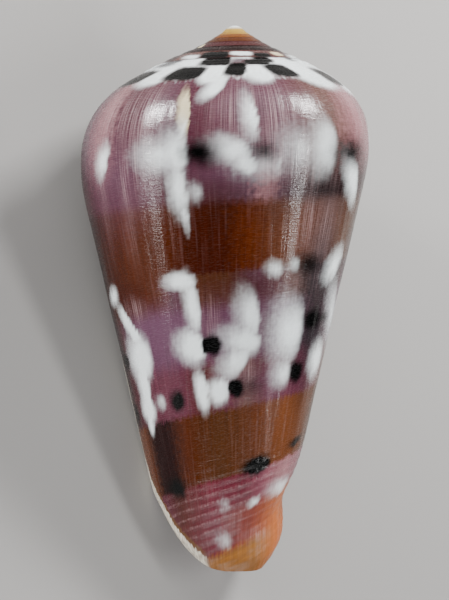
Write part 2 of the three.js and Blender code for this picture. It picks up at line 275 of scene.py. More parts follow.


# The marks on the side that the photograph shows, with the fields of a Mark after its tone.
# They run from the shoulder down, and the spire's come last.
PHOTOGRAPHED = {
    Tone.WHITE: (
        (-0.12, 7.2, 0.03, 1.7, 0.004, 0.2, 0.4, 1, 2.4), (-0.219, 7.2, 0.022, 1.7, 0.002, 0.15, 0.3, 1, 2.4),
        (-0.224, 8.9, 0.013, 2.1, 0.006, 0.3, 0.6), (-0.285, 7, 0.023, 1.6, 0, 0.2, 0.5, 1, 2.4),
        # The white at stage -0.474 on the shoulder's edge is partly painted highlight: a bright gleam along the rim,
        # drawn as white over the white pattern.
        (-0.38, 7.2, 0.041, 1.8, -0.012, 0.3, 0.3, 1, 2.4), (-0.474, 8.2, 0.044, 1.4, -0.01, 0.2, 0.4, 1, 2.4),
        (-0.1925, 14.5, 0.006, 2, 0, 0.3, 0.8, 0.7), (-0.183, 17.4, 0.018, 3.2, 0, 0.25, 0.9),
        (-0.166, 17.6, 0.024, 2.2, 0, 0.5, 0.9, 0.8), (-0.186, 21.7, 0.011, 3.9, -0.0004, 0.45, 0.8),
        (-0.1925, 25, 0.0048, 2.4, -0.001, 0.8, 0.8, 0.9), (-0.086, 18, 0.012, 2.5, 0.003, 0.4, 0.8, 0.9),
        (-0.246, 17, 0.022, 2.1, -0.003, 0.4, 0.9, 0.95), (-0.259, 18.6, 0.013, 1.7, -0.003, 0.3, 0.8, 0.9),
        (-0.2665, 12.8, 0.009, 3.2, -0.001, 0.25, 0.9, 0.8), (-0.357, 16.3, 0.02, 3.8, 0, 0.4, 0.9, 0.9),
        (-0.322, 16.6, 0.018, 2.4, 0, 0.9, 0.9, 0.45), (-0.28, 18.8, 0.02, 1.6, 0, 0.9, 0.9, 0.4),
        (-0.415, 20, 0.019, 3.8, -0.005, 0.4), (-0.207, 22.2, 0.007, 1.1, 0, 0.8, 0.9, 0.5),
        (-0.298, 18.7, 0.006, 1.4, 0, 0.8, 0.8, 0.5), (-0.047, 35.1, 0.017, 1.3, 0.004, 0.6),
        (-0.076, 39, 0.014, 3.2, -0.007, 0.2, 0.6), (-0.084, 43, 0.032, 3.5, 0.001, 0.3, 0.6),
        (-0.08, 46.5, 0.016, 4.8, 0, 0.2, 0.6), (-0.08, 49.5, 0.022, 2, 0, 0.4, 0.5),
        (-0.078, 51.4, 0.01, 1.6, 0, 0.3, 0.5), (-0.177, 33.2, 0.023, 1.2, 0.003, 0.3, 0.6),
        (-0.191, 36.2, 0.0115, 4.2, -0.001, 0.35), (-0.184, 41.4, 0.024, 2.5, -0.001, 0.2),
        (-0.269, 37.4, 0.017, 3.6, -0.001, 0.3, 0.9, 0.9), (-0.26, 40.6, 0.03, 2.1, -0.002, 0.3, 0.9),
        (-0.25, 43.1, 0.021, 2.7, 0.005, 0.4, 0.9), (-0.334, 39.4, 0.03, 4.5, 0, 0.4, 0.95),
        (-0.333, 44.7, 0.019, 2, 0, 0.4, 0.9, 0.85), (-0.195, 47, 0.012, 3, -0.001, 0.3, 0.5),
        (-0.223, 47, 0.019, 1.9, 0.001, 0.3, 0.5), (-0.303, 31.5, 0.013, 1.2, 0, 0.8, 0.8, 0.95),
        (-0.332, 31.1, 0.009, 0.9, 0, 0.6, 0.8, 0.85), (-0.414, 31, 0.022, 2.6, 0.004, 0.6),
        (-0.42, 43, 0.028, 2.8, 0, 0.6, 0.6), (-0.445, 37, 0.022, 4.6, -0.004, 0.7, 0.9, 0.8),
        (-0.118, 48.5, 0.009, 1, 0, 0.8, 0.8, 0.6), (-0.299, 61.1, 0.014, 0.8, 0.01, 0.6, 0.8, 0.85),
        (-0.378, 59.3, 0.034, 1.3, 0.012, 0.7, 0.9, 0.8), (-0.222, 66, 0.017, 0.9, 0, 0.9, 0.9, 0.5),
        (-0.228, 61.4, 0.007, 0.6, 0, 0.9, 0.9, 0.25), (-0.16, 5.25, 0.026, 0.75, 0, 0.3, 0.3, 0.9, 4),
        (-0.352, 5.3, 0.023, 0.65, 0, 0.3, 0.3, 0.85, 4), (-0.415, 5.35, 0.022, 0.6, 0, 0.4, 0.4, 0.8, 4),
        (-1.14, 4.55, 0.03, 0.35, 0, 0.4, 0.4, 0.8, 3), (-1.266, 4.15, 0.034, 0.36, 0, 0.3, 0.3, 0.9, 3),
        (-1.43, 4.3, 0.03, 0.45, 0, 0.5, 0.5, 0.7, 3),
    ),
    Tone.BLACK: (
        (-0.062, 7.3, 0.04, 1, 0.012, 0.2, 0.3, 1, 4), (-0.172, 7.05, 0.03, 0.95, 0.006, 0.15, 0.2, 1, 4),
        (-0.251, 6.55, 0.017, 0.95, 0.004, 0.15, 0.2, 1, 4), (-0.326, 6.6, 0.024, 0.9, -0.008, 0.15, 0.2, 1, 4),
        (-0.432, 7, 0.025, 1.1, -0.006, 0.2, 0.3, 1, 4), (-0.213, 17.3, 0.023, 1.9, 0, 0.95, 0.5, 0.85),
        (-0.281, 17.1, 0.014, 1.5, 0, 0.9, 0.8, 0.7), (-0.406, 16.8, 0.04, 2.2, 0, 0.95, 0.7, 0.8),
        (-0.362, 21.7, 0.038, 1.1, 0.001, 0.95, 0.9, 0.4), (-0.2155, 41.1, 0.0165, 1.6, 0, 0.5, 0.15),
        (-0.037, 43.4, 0.015, 1.3, 0, 0.5, 0.6), (-0.151, 48.3, 0.0155, 1.6, 0, 0.5, 0.5),
        (-0.253, 46.5, 0.017, 1.3, -0.002, 0.7, 0.2), (-0.274, 46.3, 0.017, 1, 0, 0.9, 0.6, 0.3),
        (-0.363, 44.5, 0.019, 1.6, 0, 0.7, 0.4), (-0.383, 38, 0.024, 1.5, 0, 0.8, 0.4),
        (-0.413, 37.7, 0.018, 0.8, 0, 0.8, 0.5, 0.6), (-0.357, 31, 0.026, 1.5, 0, 0.95, 0.7, 0.75),
        (-0.028, 50.2, 0.016, 1.4, 0, 0.7, 0.7, 0.8), (-0.118, 59.5, 0.025, 1.6, 0, 0.6, 0.6),
        (-0.297, 56.4, 0.032, 1.45, 0.01, 0.3, 0.35), (-0.403, 53.5, 0.019, 0.9, 0.02, 0.7, 0.7, 0.95),
        (-0.212, 5.3, 0.03, 0.72, 0, 0.15, 0.2, 1, 5), (-0.291, 5.5, 0.026, 0.36, 0, 0.2, 0.2, 1, 4),
        (-0.308, 5.05, 0.022, 0.5, 0, 0.3, 0.3, 1, 3), (-1.2, 4.35, 0.036, 0.6, 0, 0.2, 0.2, 1, 4),
        (-1.318, 4.35, 0.024, 0.4, 0, 0.3, 0.3, 1, 3),
    ),
    Tone.LILAC: (
        (-0.105, 20, 0.05, 5, 0, 0.9, 0.9, 0.5), (-0.235, 20, 0.04, 1.8, 0, 0.9, 0.9, 0.5),
        (-0.14, 39.5, 0.05, 3.2, 0, 0.7, 0.9, 0.9), (-0.24, 38.6, 0.034, 3.4, 0, 0.8, 0.9, 0.5),
        (-0.305, 38.5, 0.036, 4.6, 0, 0.8, 0.9, 0.6), (-0.3, 45.5, 0.04, 2, 0, 0.8, 0.9, 0.5),
        (-0.266, 5.5, 0.026, 0.6, 0, 0.3, 0.3, 1, 4),
    ),
    Tone.BROWN: (
        (-0.22, 35.5, 0.024, 4.4, 0, 0.9, 0.2, 0.12), (-0.275, 34, 0.046, 2.8, 0, 0.9, 0.9, 0.6),
        (-0.294, 39, 0.012, 6, 0, 0.9, 0.9, 0.3), (-0.07, 36, 0.05, 2.2, 0, 0.9, 0.9, 0.5),
    ),
    Tone.CREAM: (
        (-0.1925, 12, 0.008, 3.4, -0.0013, 0.4, 0.9, 0.8), (-1.37, 4, 0.02, 0.4, 0, 0.5, 0.5, 0.6, 3),
    ),
    # The greys on the last whorl, at stages -0.008 and -0.355 to -0.39, lie along its left and right edges: painted
    # shade.
    Tone.GREY: (
        (-0.355, 23, 0.045, 1.8, 0, 0.9, 0.9, 0.3), (-0.374, 31, 0.032, 7.5, 0, 0.8, 0.8, 0.8),
        (-0.39, 41, 0.036, 6.5, 0, 0.8, 0.8, 0.85), (-0.008, 43, 0.03, 9, 0, 0.8, 0.8, 0.7),
        (-0.095, 5.3, 0.035, 0.75, 0, 0.3, 0.5, 1, 4), (-0.39, 4.8, 0.016, 0.4, 0, 0.5, 0.5, 1, 3),
        (-1.06, 4.5, 0.035, 0.7, 0, 0.5, 0.5, 0.9, 4),
    ),
    # The veils above a depth of about 30 mm, from stage -0.07 to -0.15 and from -0.26 to -0.37, lie where the two
    # softbox highlights fall: mostly painted highlight, partly pale growth lines.
    Tone.VEIL: (
        (-0.143, 14, 0.026, 9, 0, 0.8, 0.8, 0.85), (-0.294, 14.5, 0.024, 8, 0, 0.8, 0.8, 0.8),
        (-0.092, 12.5, 0.016, 4, 0, 0.8, 0.8, 0.7), (-0.122, 12, 0.014, 5, 0, 0.8, 0.8),
        (-0.078, 20, 0.008, 7, 0, 0.8, 0.8, 0.5), (-0.118, 22, 0.007, 8, 0, 0.8, 0.8, 0.5),
        (-0.262, 13, 0.034, 6, 0, 0.8, 0.8, 0.7), (-0.345, 24, 0.012, 8, 0, 0.8, 0.8, 0.6),
        (-0.372, 26.5, 0.018, 7, 0, 0.8, 0.8, 0.5), (-0.1, 36.8, 0.02, 1.6, 0, 0.8, 0.8, 0.7),
        (-0.268, 44.8, 0.014, 1.8, 0, 0.9, 0.9, 0.9), (-0.218, 38.5, 0.012, 3, 0, 0.9, 0.9, 0.6),
        (-0.33, 65.2, 0.05, 0.7, 0.01, 0.8, 0.8, 0.6),
    ),
    # The dusks at stages -0.01 and -0.4 darken the left and right edges of the last whorl: painted shade.
    Tone.DUSK: (
        (-0.01, 21, 0.045, 8, 0, 0.95, 0.9, 0.8), (-0.4, 19.5, 0.05, 4, 0, 0.95, 0.95, 0.6),
        (-0.098, 55.5, 0.028, 6, 0, 0.95, 0.95, 0.5), (-0.266, 5.5, 0.026, 0.6, 0, 0.3, 0.3, 0.6, 4),
    ),
}


@dataclass(frozen=True)
class MarkRow:
    """A spiral row in which marks recur on the side that the photograph doesn't show.

    Args:
        tone: what its marks are made of.
        depth: the row's depth at the lip, in millimetres; it follows the growth of the whorl.
        spacing: turns from one mark to the next.
        turns: half a mark's width, in turns.
        length: half a mark's length, in millimetres.
        stages: the growth stages between which the row runs, the newer one first.
        strength: how fully its marks cover.
        squareness: 2 for ovals, more for rounded blocks.
    """

    tone: Tone
    depth: float
    spacing: float
    turns: float
    length: float
    stages: tuple[float, float] = (-0.50, -0.99)
    strength: float = 1.0
    squareness: float = 2.0

    def marks(self, expansion: float, chance: random.Random) -> Iterator[Mark]:
        """Yield the row's marks, each a little off its even place and size.

        Args:
            expansion: how many times larger each whorl is than the one before.
            chance: the generator of the small differences.

        Yields:
            The marks, from the newest to the oldest.
        """
        newest, oldest = self.stages
        for number in range(round((newest - oldest) / self.spacing)):
            larger = 1 + chance.uniform(-0.3, 0.35)
            yield Mark(
                tone=self.tone,
                stage=newest - (number + chance.uniform(-0.16, 0.16)) * self.spacing,
                depth=self.depth * expansion**newest + chance.uniform(-0.35, 0.35) * self.length,
                turns=self.turns * larger,
                length=self.length * (larger + chance.uniform(-0.2, 0.2)) * expansion**newest,
                slant=chance.uniform(-0.004, 0.004),
                older=chance.uniform(0.15, 0.4),
                newer=chance.uniform(0.6, 0.9),
                strength=self.strength,
                squareness=self.squareness,
            )


HIDDEN_ROWS = (
    MarkRow(Tone.WHITE, 8.1, 0.082, 0.030, 1.7, (-0.545, -1.02), squareness=3),
    MarkRow(Tone.BLACK, 7.9, 0.082, 0.022, 1.2, (-0.507, -1.02), squareness=4),
    MarkRow(Tone.WHITE, 18.5, 0.085, 0.022, 3.8),
    MarkRow(Tone.BLACK, 19.0, 0.085, 0.018, 1.5, (-0.545, -0.99), 0.8),
    MarkRow(Tone.WHITE, 41.5, 0.080, 0.022, 4.8),
    MarkRow(Tone.WHITE, 50.0, 0.110, 0.020, 2.4),
    MarkRow(Tone.BLACK, 44.0, 0.080, 0.015, 1.6, (-0.543, -0.99)),
    MarkRow(Tone.BLACK, 50.5, 0.110, 0.015, 1.4, (-0.557, -0.99)),
    MarkRow(Tone.LILAC, 42.0, 0.070, 0.040, 4.5, strength=0.8),
    MarkRow(Tone.GREY, 40.0, 0.160, 0.030, 6.0, strength=0.6),
    MarkRow(Tone.VEIL, 18.0, 0.120, 0.020, 11.0, strength=0.6),
    MarkRow(Tone.BLACK, 61.5, 0.120, 0.020, 1.1),
    MarkRow(Tone.WHITE, 66.5, 0.120, 0.020, 1.0, strength=0.8),
    MarkRow(Tone.WHITE, 6.2, 0.100, 0.034, 1.2, (-1.47, -2.04), squareness=4),
    MarkRow(Tone.BLACK, 6.2, 0.100, 0.027, 1.1, (-1.52, -2.05), squareness=4),
    MarkRow(Tone.BLACK, 6.2, 0.120, 0.036, 1.2, (-2.43, -3.20), squareness=4),
    MarkRow(Tone.CREAM, 6.2, 0.120, 0.026, 1.2, (-2.49, -3.20), 0.6, 4),
)


def pattern(expansion: float) -> list[Mark]:
    """Return the marks of the whole pattern, those that the photograph shows and the rows on the hidden sides.

    Args:
        expansion: how many times larger each whorl is than the one before.

    Returns:
        The marks on the last whorl and on the older whorls of the spire.
    """
    chance = random.Random(RANDOM_SEED)
    shown = [Mark(tone, *values) for tone, marks in PHOTOGRAPHED.items() for values in marks]
    return shown + [mark for row in HIDDEN_ROWS for mark in row.marks(expansion, chance)]


# The shell


@dataclass(frozen=True)
class Place:
    """Where a point of the shell is, and when it was laid down.

    Args:
        radius: its distance from the axis, in millimetres.
        depth: its depth below the apex, in millimetres.
        stage: its growth stage, in turns.
        past_rim: its depth past the siphonal end's rim, in millimetres; below zero on the outside.
    """

    radius: Field
    depth: Field
    stage: Field
    past_rim: Value


FAR_FROM_RIM = -60.0
INSIDE = 1.0  # what past_rim says on the faces inside the shell

Surface = Callable[[Field, Field], tuple[Field, Field]]


@dataclass
class ConeShell:
    """The shell: its sizes in millimetres, and the way to grow it and dress it.

    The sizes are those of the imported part. What the part leaves out is added inside its surface: the cords, the
    grooves and the rests of growth, so that the shell never stands proud of the part.
    """

    length: float = 70.0
    expansion: float = 1.334
    spire_turns: int = 6
    suture_reach: Vector = field(default_factory=lambda: Vector((12.94, 6.8, 0)))
    ramp_bulge: float = 0.14
    ramp_slope: float = 0.5
    side_radius: float = 24.85
    side_taper: float = 0.234
    side_top: float = 24.2
    ramp_pull: float = 9.7
    side_pull: float = 6.3
    spire_hollow: tuple[float, float, float] = (0.3, 4.6, 2.6)  # its depth, radius and width
    notch_turns: float = 0.03
    notch_at_middle: float = 0.012

    rim_depths: tuple[tuple[float, float], ...] = (
        (-1, 64.5), (-0.8, 66), (-0.65, 67.6), (-0.5, 68.8), (-0.36, 69.8), (-0.25, 70),
        (-0.2, 69.9), (-0.15, 69.3), (-0.1, 67.5), (-0.065, 65.2), (-0.035, 62.8), (-0.015, 61), (0, 58.8),
    )
    rim_nicks: tuple[float, float] = (60.0, 0.2)  # how many to a turn, and how deep
    rim_bevel: tuple[float, float, float] = (1.8, 0.6, 0.05)  # its length, its drop, and the turns it sets in over
    columella_rounding: tuple[float, float] = (4.0, 2.2)  # its length and its drop
    columella_stages: tuple[float, float] = (-0.31, -0.496)  # where the canal closes into it
    fasciole: tuple[float, float] = (60.0, 24.0)  # its depth half a turn back, and how far it winds down in a turn
    waist: tuple[float, float, float] = (1.1, 3.2, 0.3)  # its depth, its width, and the turns it sets in over
    end_cap_depth: float = 66.0
    tip_depth: float = 0.3

    wall: float = 1.3
    lip_wall: float = 0.9
    lip_thinning: float = 0.12
    lip_rounding: tuple[float, float] = (0.25, 0.008)  # how far it turns in, and over how many turns
    callus: float = 0.2
    hollow_turns: float = 1.5
    past_lip: float = 0.01
    roof_outer: float = 0.268
    roof_inner: float = 0.407
    roof_share: float = 0.4
    open_depth: float = 74.0
    floor_depths: tuple[tuple[float, float], ...] = (
        (-1.6, 47), (-1, 55), (-0.5, 61.5), (-0.38, 65.5), (-0.31, 74), (0.05, 74),
    )
    least_radius: float = 0.5

    suture_groove: float = 0.14
    groove_shares: tuple[float, float, float] = (0.13, 0.07, 0.08)  # of the ramp: its middle, width and start
    ramp_cords: tuple[int, float] = (3, 0.02)  # how many, and half their height
    shoulder_smooth: float = 0.4  # the share of the shoulder over which its relief sets in
    cord_start: float = 58.0
    cord_full: float = 64.0
    cord_spacing: float = 1.2
    cord_height: float = 0.09
    cord_wear: tuple[float, float] = (14.0, 0.9)  # how often their height changes, in a turn and in a millimetre
    ripple_height: float = 0.06
    ripple_pace: tuple[float, float] = (34.0, 0.035)  # the same for the rests of growth
    skin_inset: float = 0.04
    mark_pace: tuple[float, float] = (36.0, 0.25)  # the same for the waver in the marks' edges
    mark_waver: tuple[float, float] = (0.008, 1.1)  # how far they waver, in turns and in millimetres

    roll_degrees: float = 147.9
    tilt_degrees: float = 13.0
    sharp_degrees: float = 38.0

    steps_per_turn: int = 220
    ramp_rows: int = 14
    shoulder_rows: int = 40
    side_rows: int = 52
    cord_rows: int = 84
    cap_rings: int = 8
    hollow_steps: int = 210
    hollow_rows: int = 56

    def build(self, material: bpy.types.Material) -> bpy.types.Object:
        """Grow the shell and return it as one plain mesh object.

        Args:
            material: the finish that it gets.

        Returns:
            The finished piece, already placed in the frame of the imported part.
        """
        tree = ShellTree(self).tree
        piece = bpy.data.objects.new("cone_shell", bpy.data.meshes.new("seed"))
        bpy.context.scene.collection.objects.link(piece)
        modifier = piece.modifiers.new("growth", "NODES")
        modifier.node_group = tree
        inputs = self.tree_inputs() | {"Material": material}
        for item in tree.interface.items_tree:
            if item.in_out == "INPUT" and item.name in inputs:
                modifier[item.identifier] = inputs[item.name]
        piece.update_tag()
        evaluated = piece.evaluated_get(bpy.context.evaluated_depsgraph_get())
        grown = bpy.data.meshes.new_from_object(evaluated)
        piece.modifiers.remove(modifier)
        piece.data = grown
        grown.name = "cone_shell"
        return piece

    def tree_inputs(self) -> dict[str, float]:
        """Return the sizes that the growth tree takes as named inputs.

        Returns:
            Each input's name and value.
        """
        return {
            "Whorl expansion": self.expansion,
            "Side radius": self.side_radius,
            "Side taper": self.side_taper,
            "Wall": self.wall,
            "Lip wall": self.lip_wall,
            "Callus": self.callus,
            "Cord spacing": self.cord_spacing,
            "Cord height": self.cord_height,
            "Ripple height": self.ripple_height,
            "Roll": math.radians(self.roll_degrees),
            "Tilt": math.radians(self.tilt_degrees - 90),
        }

    def dress(self, piece: bpy.types.Object) -> None:
        """Attach the piece to the root body, which it rides on, and hide the imported part that it stands for.

        Args:
            piece: the shell's object.
        """
        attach(piece, "root")
        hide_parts("shell")


class GrowthRules(NumberTree):
    """The rules by which the shell grows, in the nodes of one tree.

    Args:
        name: the tree's name.
        sizes: the shell that it grows.
        inputs: the names of the inputs that the tree has besides the shell's sizes.
        outputs: the names of its outputs.
    """

    def __init__(self, name: str, sizes: ConeShell, inputs: Iterable[str] = (), outputs: Iterable[str] = ()) -> None:
        super().__init__(name, (*sizes.tree_inputs(), *inputs), outputs)
        self.sizes = sizes

    def growth(self, stage: Field) -> Field:
        """Return how large the shell was at a growth stage, as a share of its size at the lip."""
        return self.given["Whorl expansion"] ** stage

    def bell(self, value: Field) -> Field:
        """Return a bell curve of a value, one at zero."""
        return math.e ** (value * value * -1.0)

    def uneven(self, stage: Field, depth: Field, pace: tuple[float, float], detail: float, rough: float) -> Field:
        """Return a noise over the surface, 0.5 on average.

        Args:
            stage: the growth stage.
            depth: the depth or the level.
            pace: how often it changes in a turn and in a millimetre.
            detail: how many finer layers it has.
            rough: how strong they are.

        Returns:
            The noise.
        """
        return self.add(NOISE, self.add(VECTOR, stage * pace[0], depth * pace[1], 0.0), None, 1.0, detail, rough)

    def table(self, stage: Field, rows: tuple[tuple[float, float], ...], top: float) -> Field:
        """Return the value that a table gives at a growth stage, on a smooth curve through its rows.

        Args:
            stage: the growth stage.
            rows: growth stages with their values.
            top: the value that the curve's own scale ends at.

        Returns:
            The value.
        """
        first, last = rows[0][0], rows[-1][0]
        curve = self.add("ShaderNodeFloatCurve", 1.0, self.add(RANGE, stage, first, last))
        mapping = curve.socket.node.mapping
        points = mapping.curves[0].points
        places = [((row_stage - first) / (last - first), value / top) for row_stage, value in rows]
        points[0].location, points[1].location = places[0], places[-1]
        for place in places[1:-1]:
            points.new(*place)
        mapping.update()
        return curve * top

    # The growth line at the lip: the ramp from suture to suture, then the shoulder down to the side

    def ramp_curve(self) -> Field:
        """Return the ramp of the growth line, as a curve of radius and depth.

        Returns:
            The curve.
        """
        sizes = self.sizes
        start = sizes.suture_reach / sizes.expansion
        middle = (start + sizes.suture_reach) / 2 - Vector((0, 2 * sizes.ramp_bulge, 0))
        return self.add("GeometryNodeCurveQuadraticBezier", 64, start, middle, sizes.suture_reach)

    def shoulder_curve(self) -> Field:
        """Return the shoulder of the growth line, as a curve of radius and depth.

        Returns:
            The curve.
        """
        sizes = self.sizes
        reach = sizes.suture_reach
        top = Vector((sizes.side_radius - sizes.side_taper * sizes.side_top, sizes.side_top, 0))
        ramp_handle = reach + Vector((1, sizes.ramp_slope, 0)).normalized() * sizes.ramp_pull
        side_handle = top - Vector((-sizes.side_taper, 1, 0)).normalized() * sizes.side_pull
        kind = "GeometryNodeCurvePrimitiveBezierSegment"
        return self.add(kind, 128, reach, ramp_handle, side_handle, top, mode="POSITION")

    def on_curve(self, curve: Field, share: Field) -> Field:
        """Return the node that finds the place on a curve at a share of its length."""
        named = {"Curves": curve, "Factor": share}
        return self.add("GeometryNodeSampleCurve", named=named, mode="FACTOR", use_all_curves=True)

    def ramp_place(self, stage: Field, share: Field) -> Place:
        """Return a place on the ramp, at a share of the way from suture to suture.

        Args:
            stage: the growth stage.
            share: the share of the way.

        Returns:
            The place.
        """
        sizes = self.sizes
        arch = self.add(MATH, share * math.pi, operation="SINE")
        earlier = stage - sizes.notch_turns - sizes.notch_at_middle * arch
        point = self.add(PARTS, self.on_curve(self.ramp_curve(), share)["Position"])
        middle, width, start = sizes.groove_shares
        groove = self.bell((share - middle) / width) * self.add(RANGE, share, 0.0, start) * sizes.suture_groove
        cords, half_height = sizes.ramp_cords
        wave = self.add(MATH, share * (2 * math.pi * cords), operation="COSINE")
        size = self.growth(earlier)
        depth = (point["Y"] + groove + (1 - wave) * half_height) * size
        return Place(point["X"] * size, depth, earlier, FAR_FROM_RIM)

    def shoulder_place(self, stage: Field, share: Field) -> Place:
        """Return a place on the shoulder, at a share of the way down it.

        Args:
            stage: the growth stage.
            share: the share of the way.

        Returns:
            The place.
        """
        sizes = self.sizes
        earlier = stage - sizes.notch_turns * (1 - self.add(RANGE, share, 0.0, 1.0, **SMOOTH))
        point = self.add(PARTS, self.on_curve(self.shoulder_curve(), share)["Position"])
        size = self.growth(earlier)
        from_suture = self.add(RANGE, share, 0.0, sizes.shoulder_smooth, **SMOOTH)
        relief = self.ripple(earlier, point["Y"]) + self.lip_tuck(stage) + sizes.skin_inset
        return Place(point["X"] * size - relief * from_suture, point["Y"] * size, earlier, FAR_FROM_RIM)

    def side_radius(self, stage: Field, depth: Field) -> Field:
        """Return the radius of the side at a depth, with the waist above the ridge of the fasciole.

        Args:
            stage: the growth stage.
            depth: the depth.

        Returns:
            The radius.
        """
        ridge_start, ridge_slope = self.sizes.fasciole
        waist, width, fade = self.sizes.waist
        ridge = (stage + 0.5) * ridge_slope + ridge_start
        drawn_in = self.bell((depth - ridge) / width) * self.add(RANGE, stage * -1.0, 0.0, fade, **SMOOTH) * waist
        straight = self.growth(stage) * self.given["Side radius"] - self.given["Side taper"] * depth
        return self.add(MATH, straight - drawn_in, self.sizes.least_radius, operation="MAXIMUM")

    def rim_depth(self, stage: Field) -> Field:
        """Return the depth of the siphonal end's rim, with its small nicks.

        Args:
            stage: the growth stage.

        Returns:
            The depth.
        """
        number, depth = self.sizes.rim_nicks
        nicks = self.add(NOISE, None, stage * number, 1.0, 2.0, noise_dimensions="1D")
        return self.table(stage, self.sizes.rim_depths, self.sizes.length) - nicks * depth

    def rim_drop(self, stage: Field, past_rim: Field) -> Field:
        """Return how far the outside has drawn in towards the rim: its bevel or its rounded columella.

        Args:
            stage: the growth stage.
            past_rim: the depth past the rim.

        Returns:
            The drop.
        """
        bevel_length, bevel_drop, bevel_fade = self.sizes.rim_bevel
        round_length, round_drop = self.sizes.columella_rounding
        start, end = self.sizes.columella_stages
        closed = self.add(RANGE, stage * -1.0, -start, -end, **SMOOTH)
        bevel = self.add(RANGE, stage * -1.0, 0.0, bevel_fade, **SMOOTH) * bevel_drop
        length = closed * (round_length - bevel_length) + bevel_length
        drop = bevel + closed * (round_drop - bevel)
        share = self.add(RANGE, past_rim + length, 0.0, length)
        return drop * share * share

    def ripple(self, stage: Field, level: Field) -> Field:
        """Return how deep the surface lies between the low swellings and rests of growth."""
        swell = self.uneven(stage, level, self.sizes.ripple_pace, 3.0, 0.6)
        return self.add(RANGE, swell, 0.2, 0.8, 2.0, 0.0) * self.given["Ripple height"]

    def lip_tuck(self, stage: Field) -> Field:
        """Return how far the outside turns in at the very edge of the lip."""
        tuck, turns = self.sizes.lip_rounding
        return self.add(RANGE, stage, -turns, 0.0, **SMOOTH) * tuck

    def cord_grooves(self, stage: Field, level: Field) -> Field:
        """Return how deep the surface lies between the spiral cords that wind around the siphonal end.

        Args:
            stage: the growth stage.
            level: the level.

        Returns:
            The depth of the grooves.
        """
        sizes = self.sizes
        wave = self.add(MATH, level * (2 * math.pi) / self.given["Cord spacing"], operation="COSINE")
        worn = self.uneven(stage, level, sizes.cord_wear, 2.0, 0.5)
        depth = self.add(RANGE, level, sizes.cord_start, sizes.cord_full, **SMOOTH) * self.given["Cord height"]
        return (1 - wave) * 0.5 * depth * (worn * 1.4)

    def side_place(self, stage: Field, share: Field) -> Place:
        """Return a place on the side: the first rows are even, and those over the cords are close.

        Args:
            stage: the growth stage.
            share: the share of the way.

        Returns:
            The place.
        """
        sizes = self.sizes
        even_rows = sizes.side_rows / (sizes.side_rows + sizes.cord_rows)
        size = self.growth(stage)
        rim = self.rim_depth(stage)
        close_from = size * (sizes.cord_start - 2)
        upper = self.add(RANGE, share, 0.0, even_rows, size * sizes.side_top, close_from)
        lower = self.add(RANGE, share, even_rows, 1.0, 0.0, rim - close_from)
        depth = upper + lower
        past_rim = depth - rim
        level = depth / size
        relief = self.cord_grooves(stage, level) + self.ripple(stage, level) + self.lip_tuck(stage) + sizes.skin_inset
        radius = self.side_radius(stage, depth) - self.rim_drop(stage, past_rim) - relief
        return Place(radius, depth, stage, past_rim)

    def hollow_place(self, stage: Field, down: Field, roof: float, floor: Field, away: Field) -> Place:
        """Return a place on one side of the hollow.

        Args:
            stage: the growth stage of the whorl that the side follows.
            down: the share of the way from the roof to the floor.
            roof: where on the shoulder it begins, as a share of the shoulder's length.
            floor: the hollow's depth.
            away: how far it lies outside the whorl's surface; less than zero is inside.

        Returns:
            The place.
        """
        sizes = self.sizes
        bend = sizes.roof_share
        size = self.growth(stage)
        slope = Vector((-sizes.side_taper, 1)).normalized()
        on_shoulder = self.on_curve(self.shoulder_curve(), self.add(RANGE, down, 0.0, bend, roof, 1.0))
        point, along = self.add(PARTS, on_shoulder["Position"]), self.add(PARTS, on_shoulder["Tangent"])
        depth = self.add(RANGE, down, bend, 1.0, size * sizes.side_top, floor)
        on_side = self.add(MATH, down, bend, operation="GREATER_THAN")
        side = self.side_radius(stage, depth) + slope.y * away
        radius = self.add(MIX, on_side, point["X"] * size + along["Y"] * away, side, data_type="FLOAT")
        level = self.add(MIX, on_side, point["Y"] * size - along["X"] * away, depth - slope.x * away, data_type="FLOAT")
        safe = self.add(MATH, radius, sizes.least_radius, operation="MAXIMUM")
        return Place(safe, level, stage, INSIDE)


class PlaceGroup(GrowthRules):
    """A node group that turns a growth stage and a share into a place, for the sheets that share a rule.

    Args:
        sizes: the shell.
        rule: the rule, one of GrowthRules.
    """

    OUTPUTS = ("Radius", "Depth", "At stage", "Past rim")

    def __init__(self, sizes: ConeShell, rule: Callable[[GrowthRules, Field, Field], Place]) -> None:
        super().__init__(rule.__name__, sizes, ("Stage", "Share"), self.OUTPUTS)
        place = rule(self, self.given["Stage"], self.given["Share"])
        self.add("NodeGroupOutput", place.radius, place.depth, place.stage, place.past_rim)


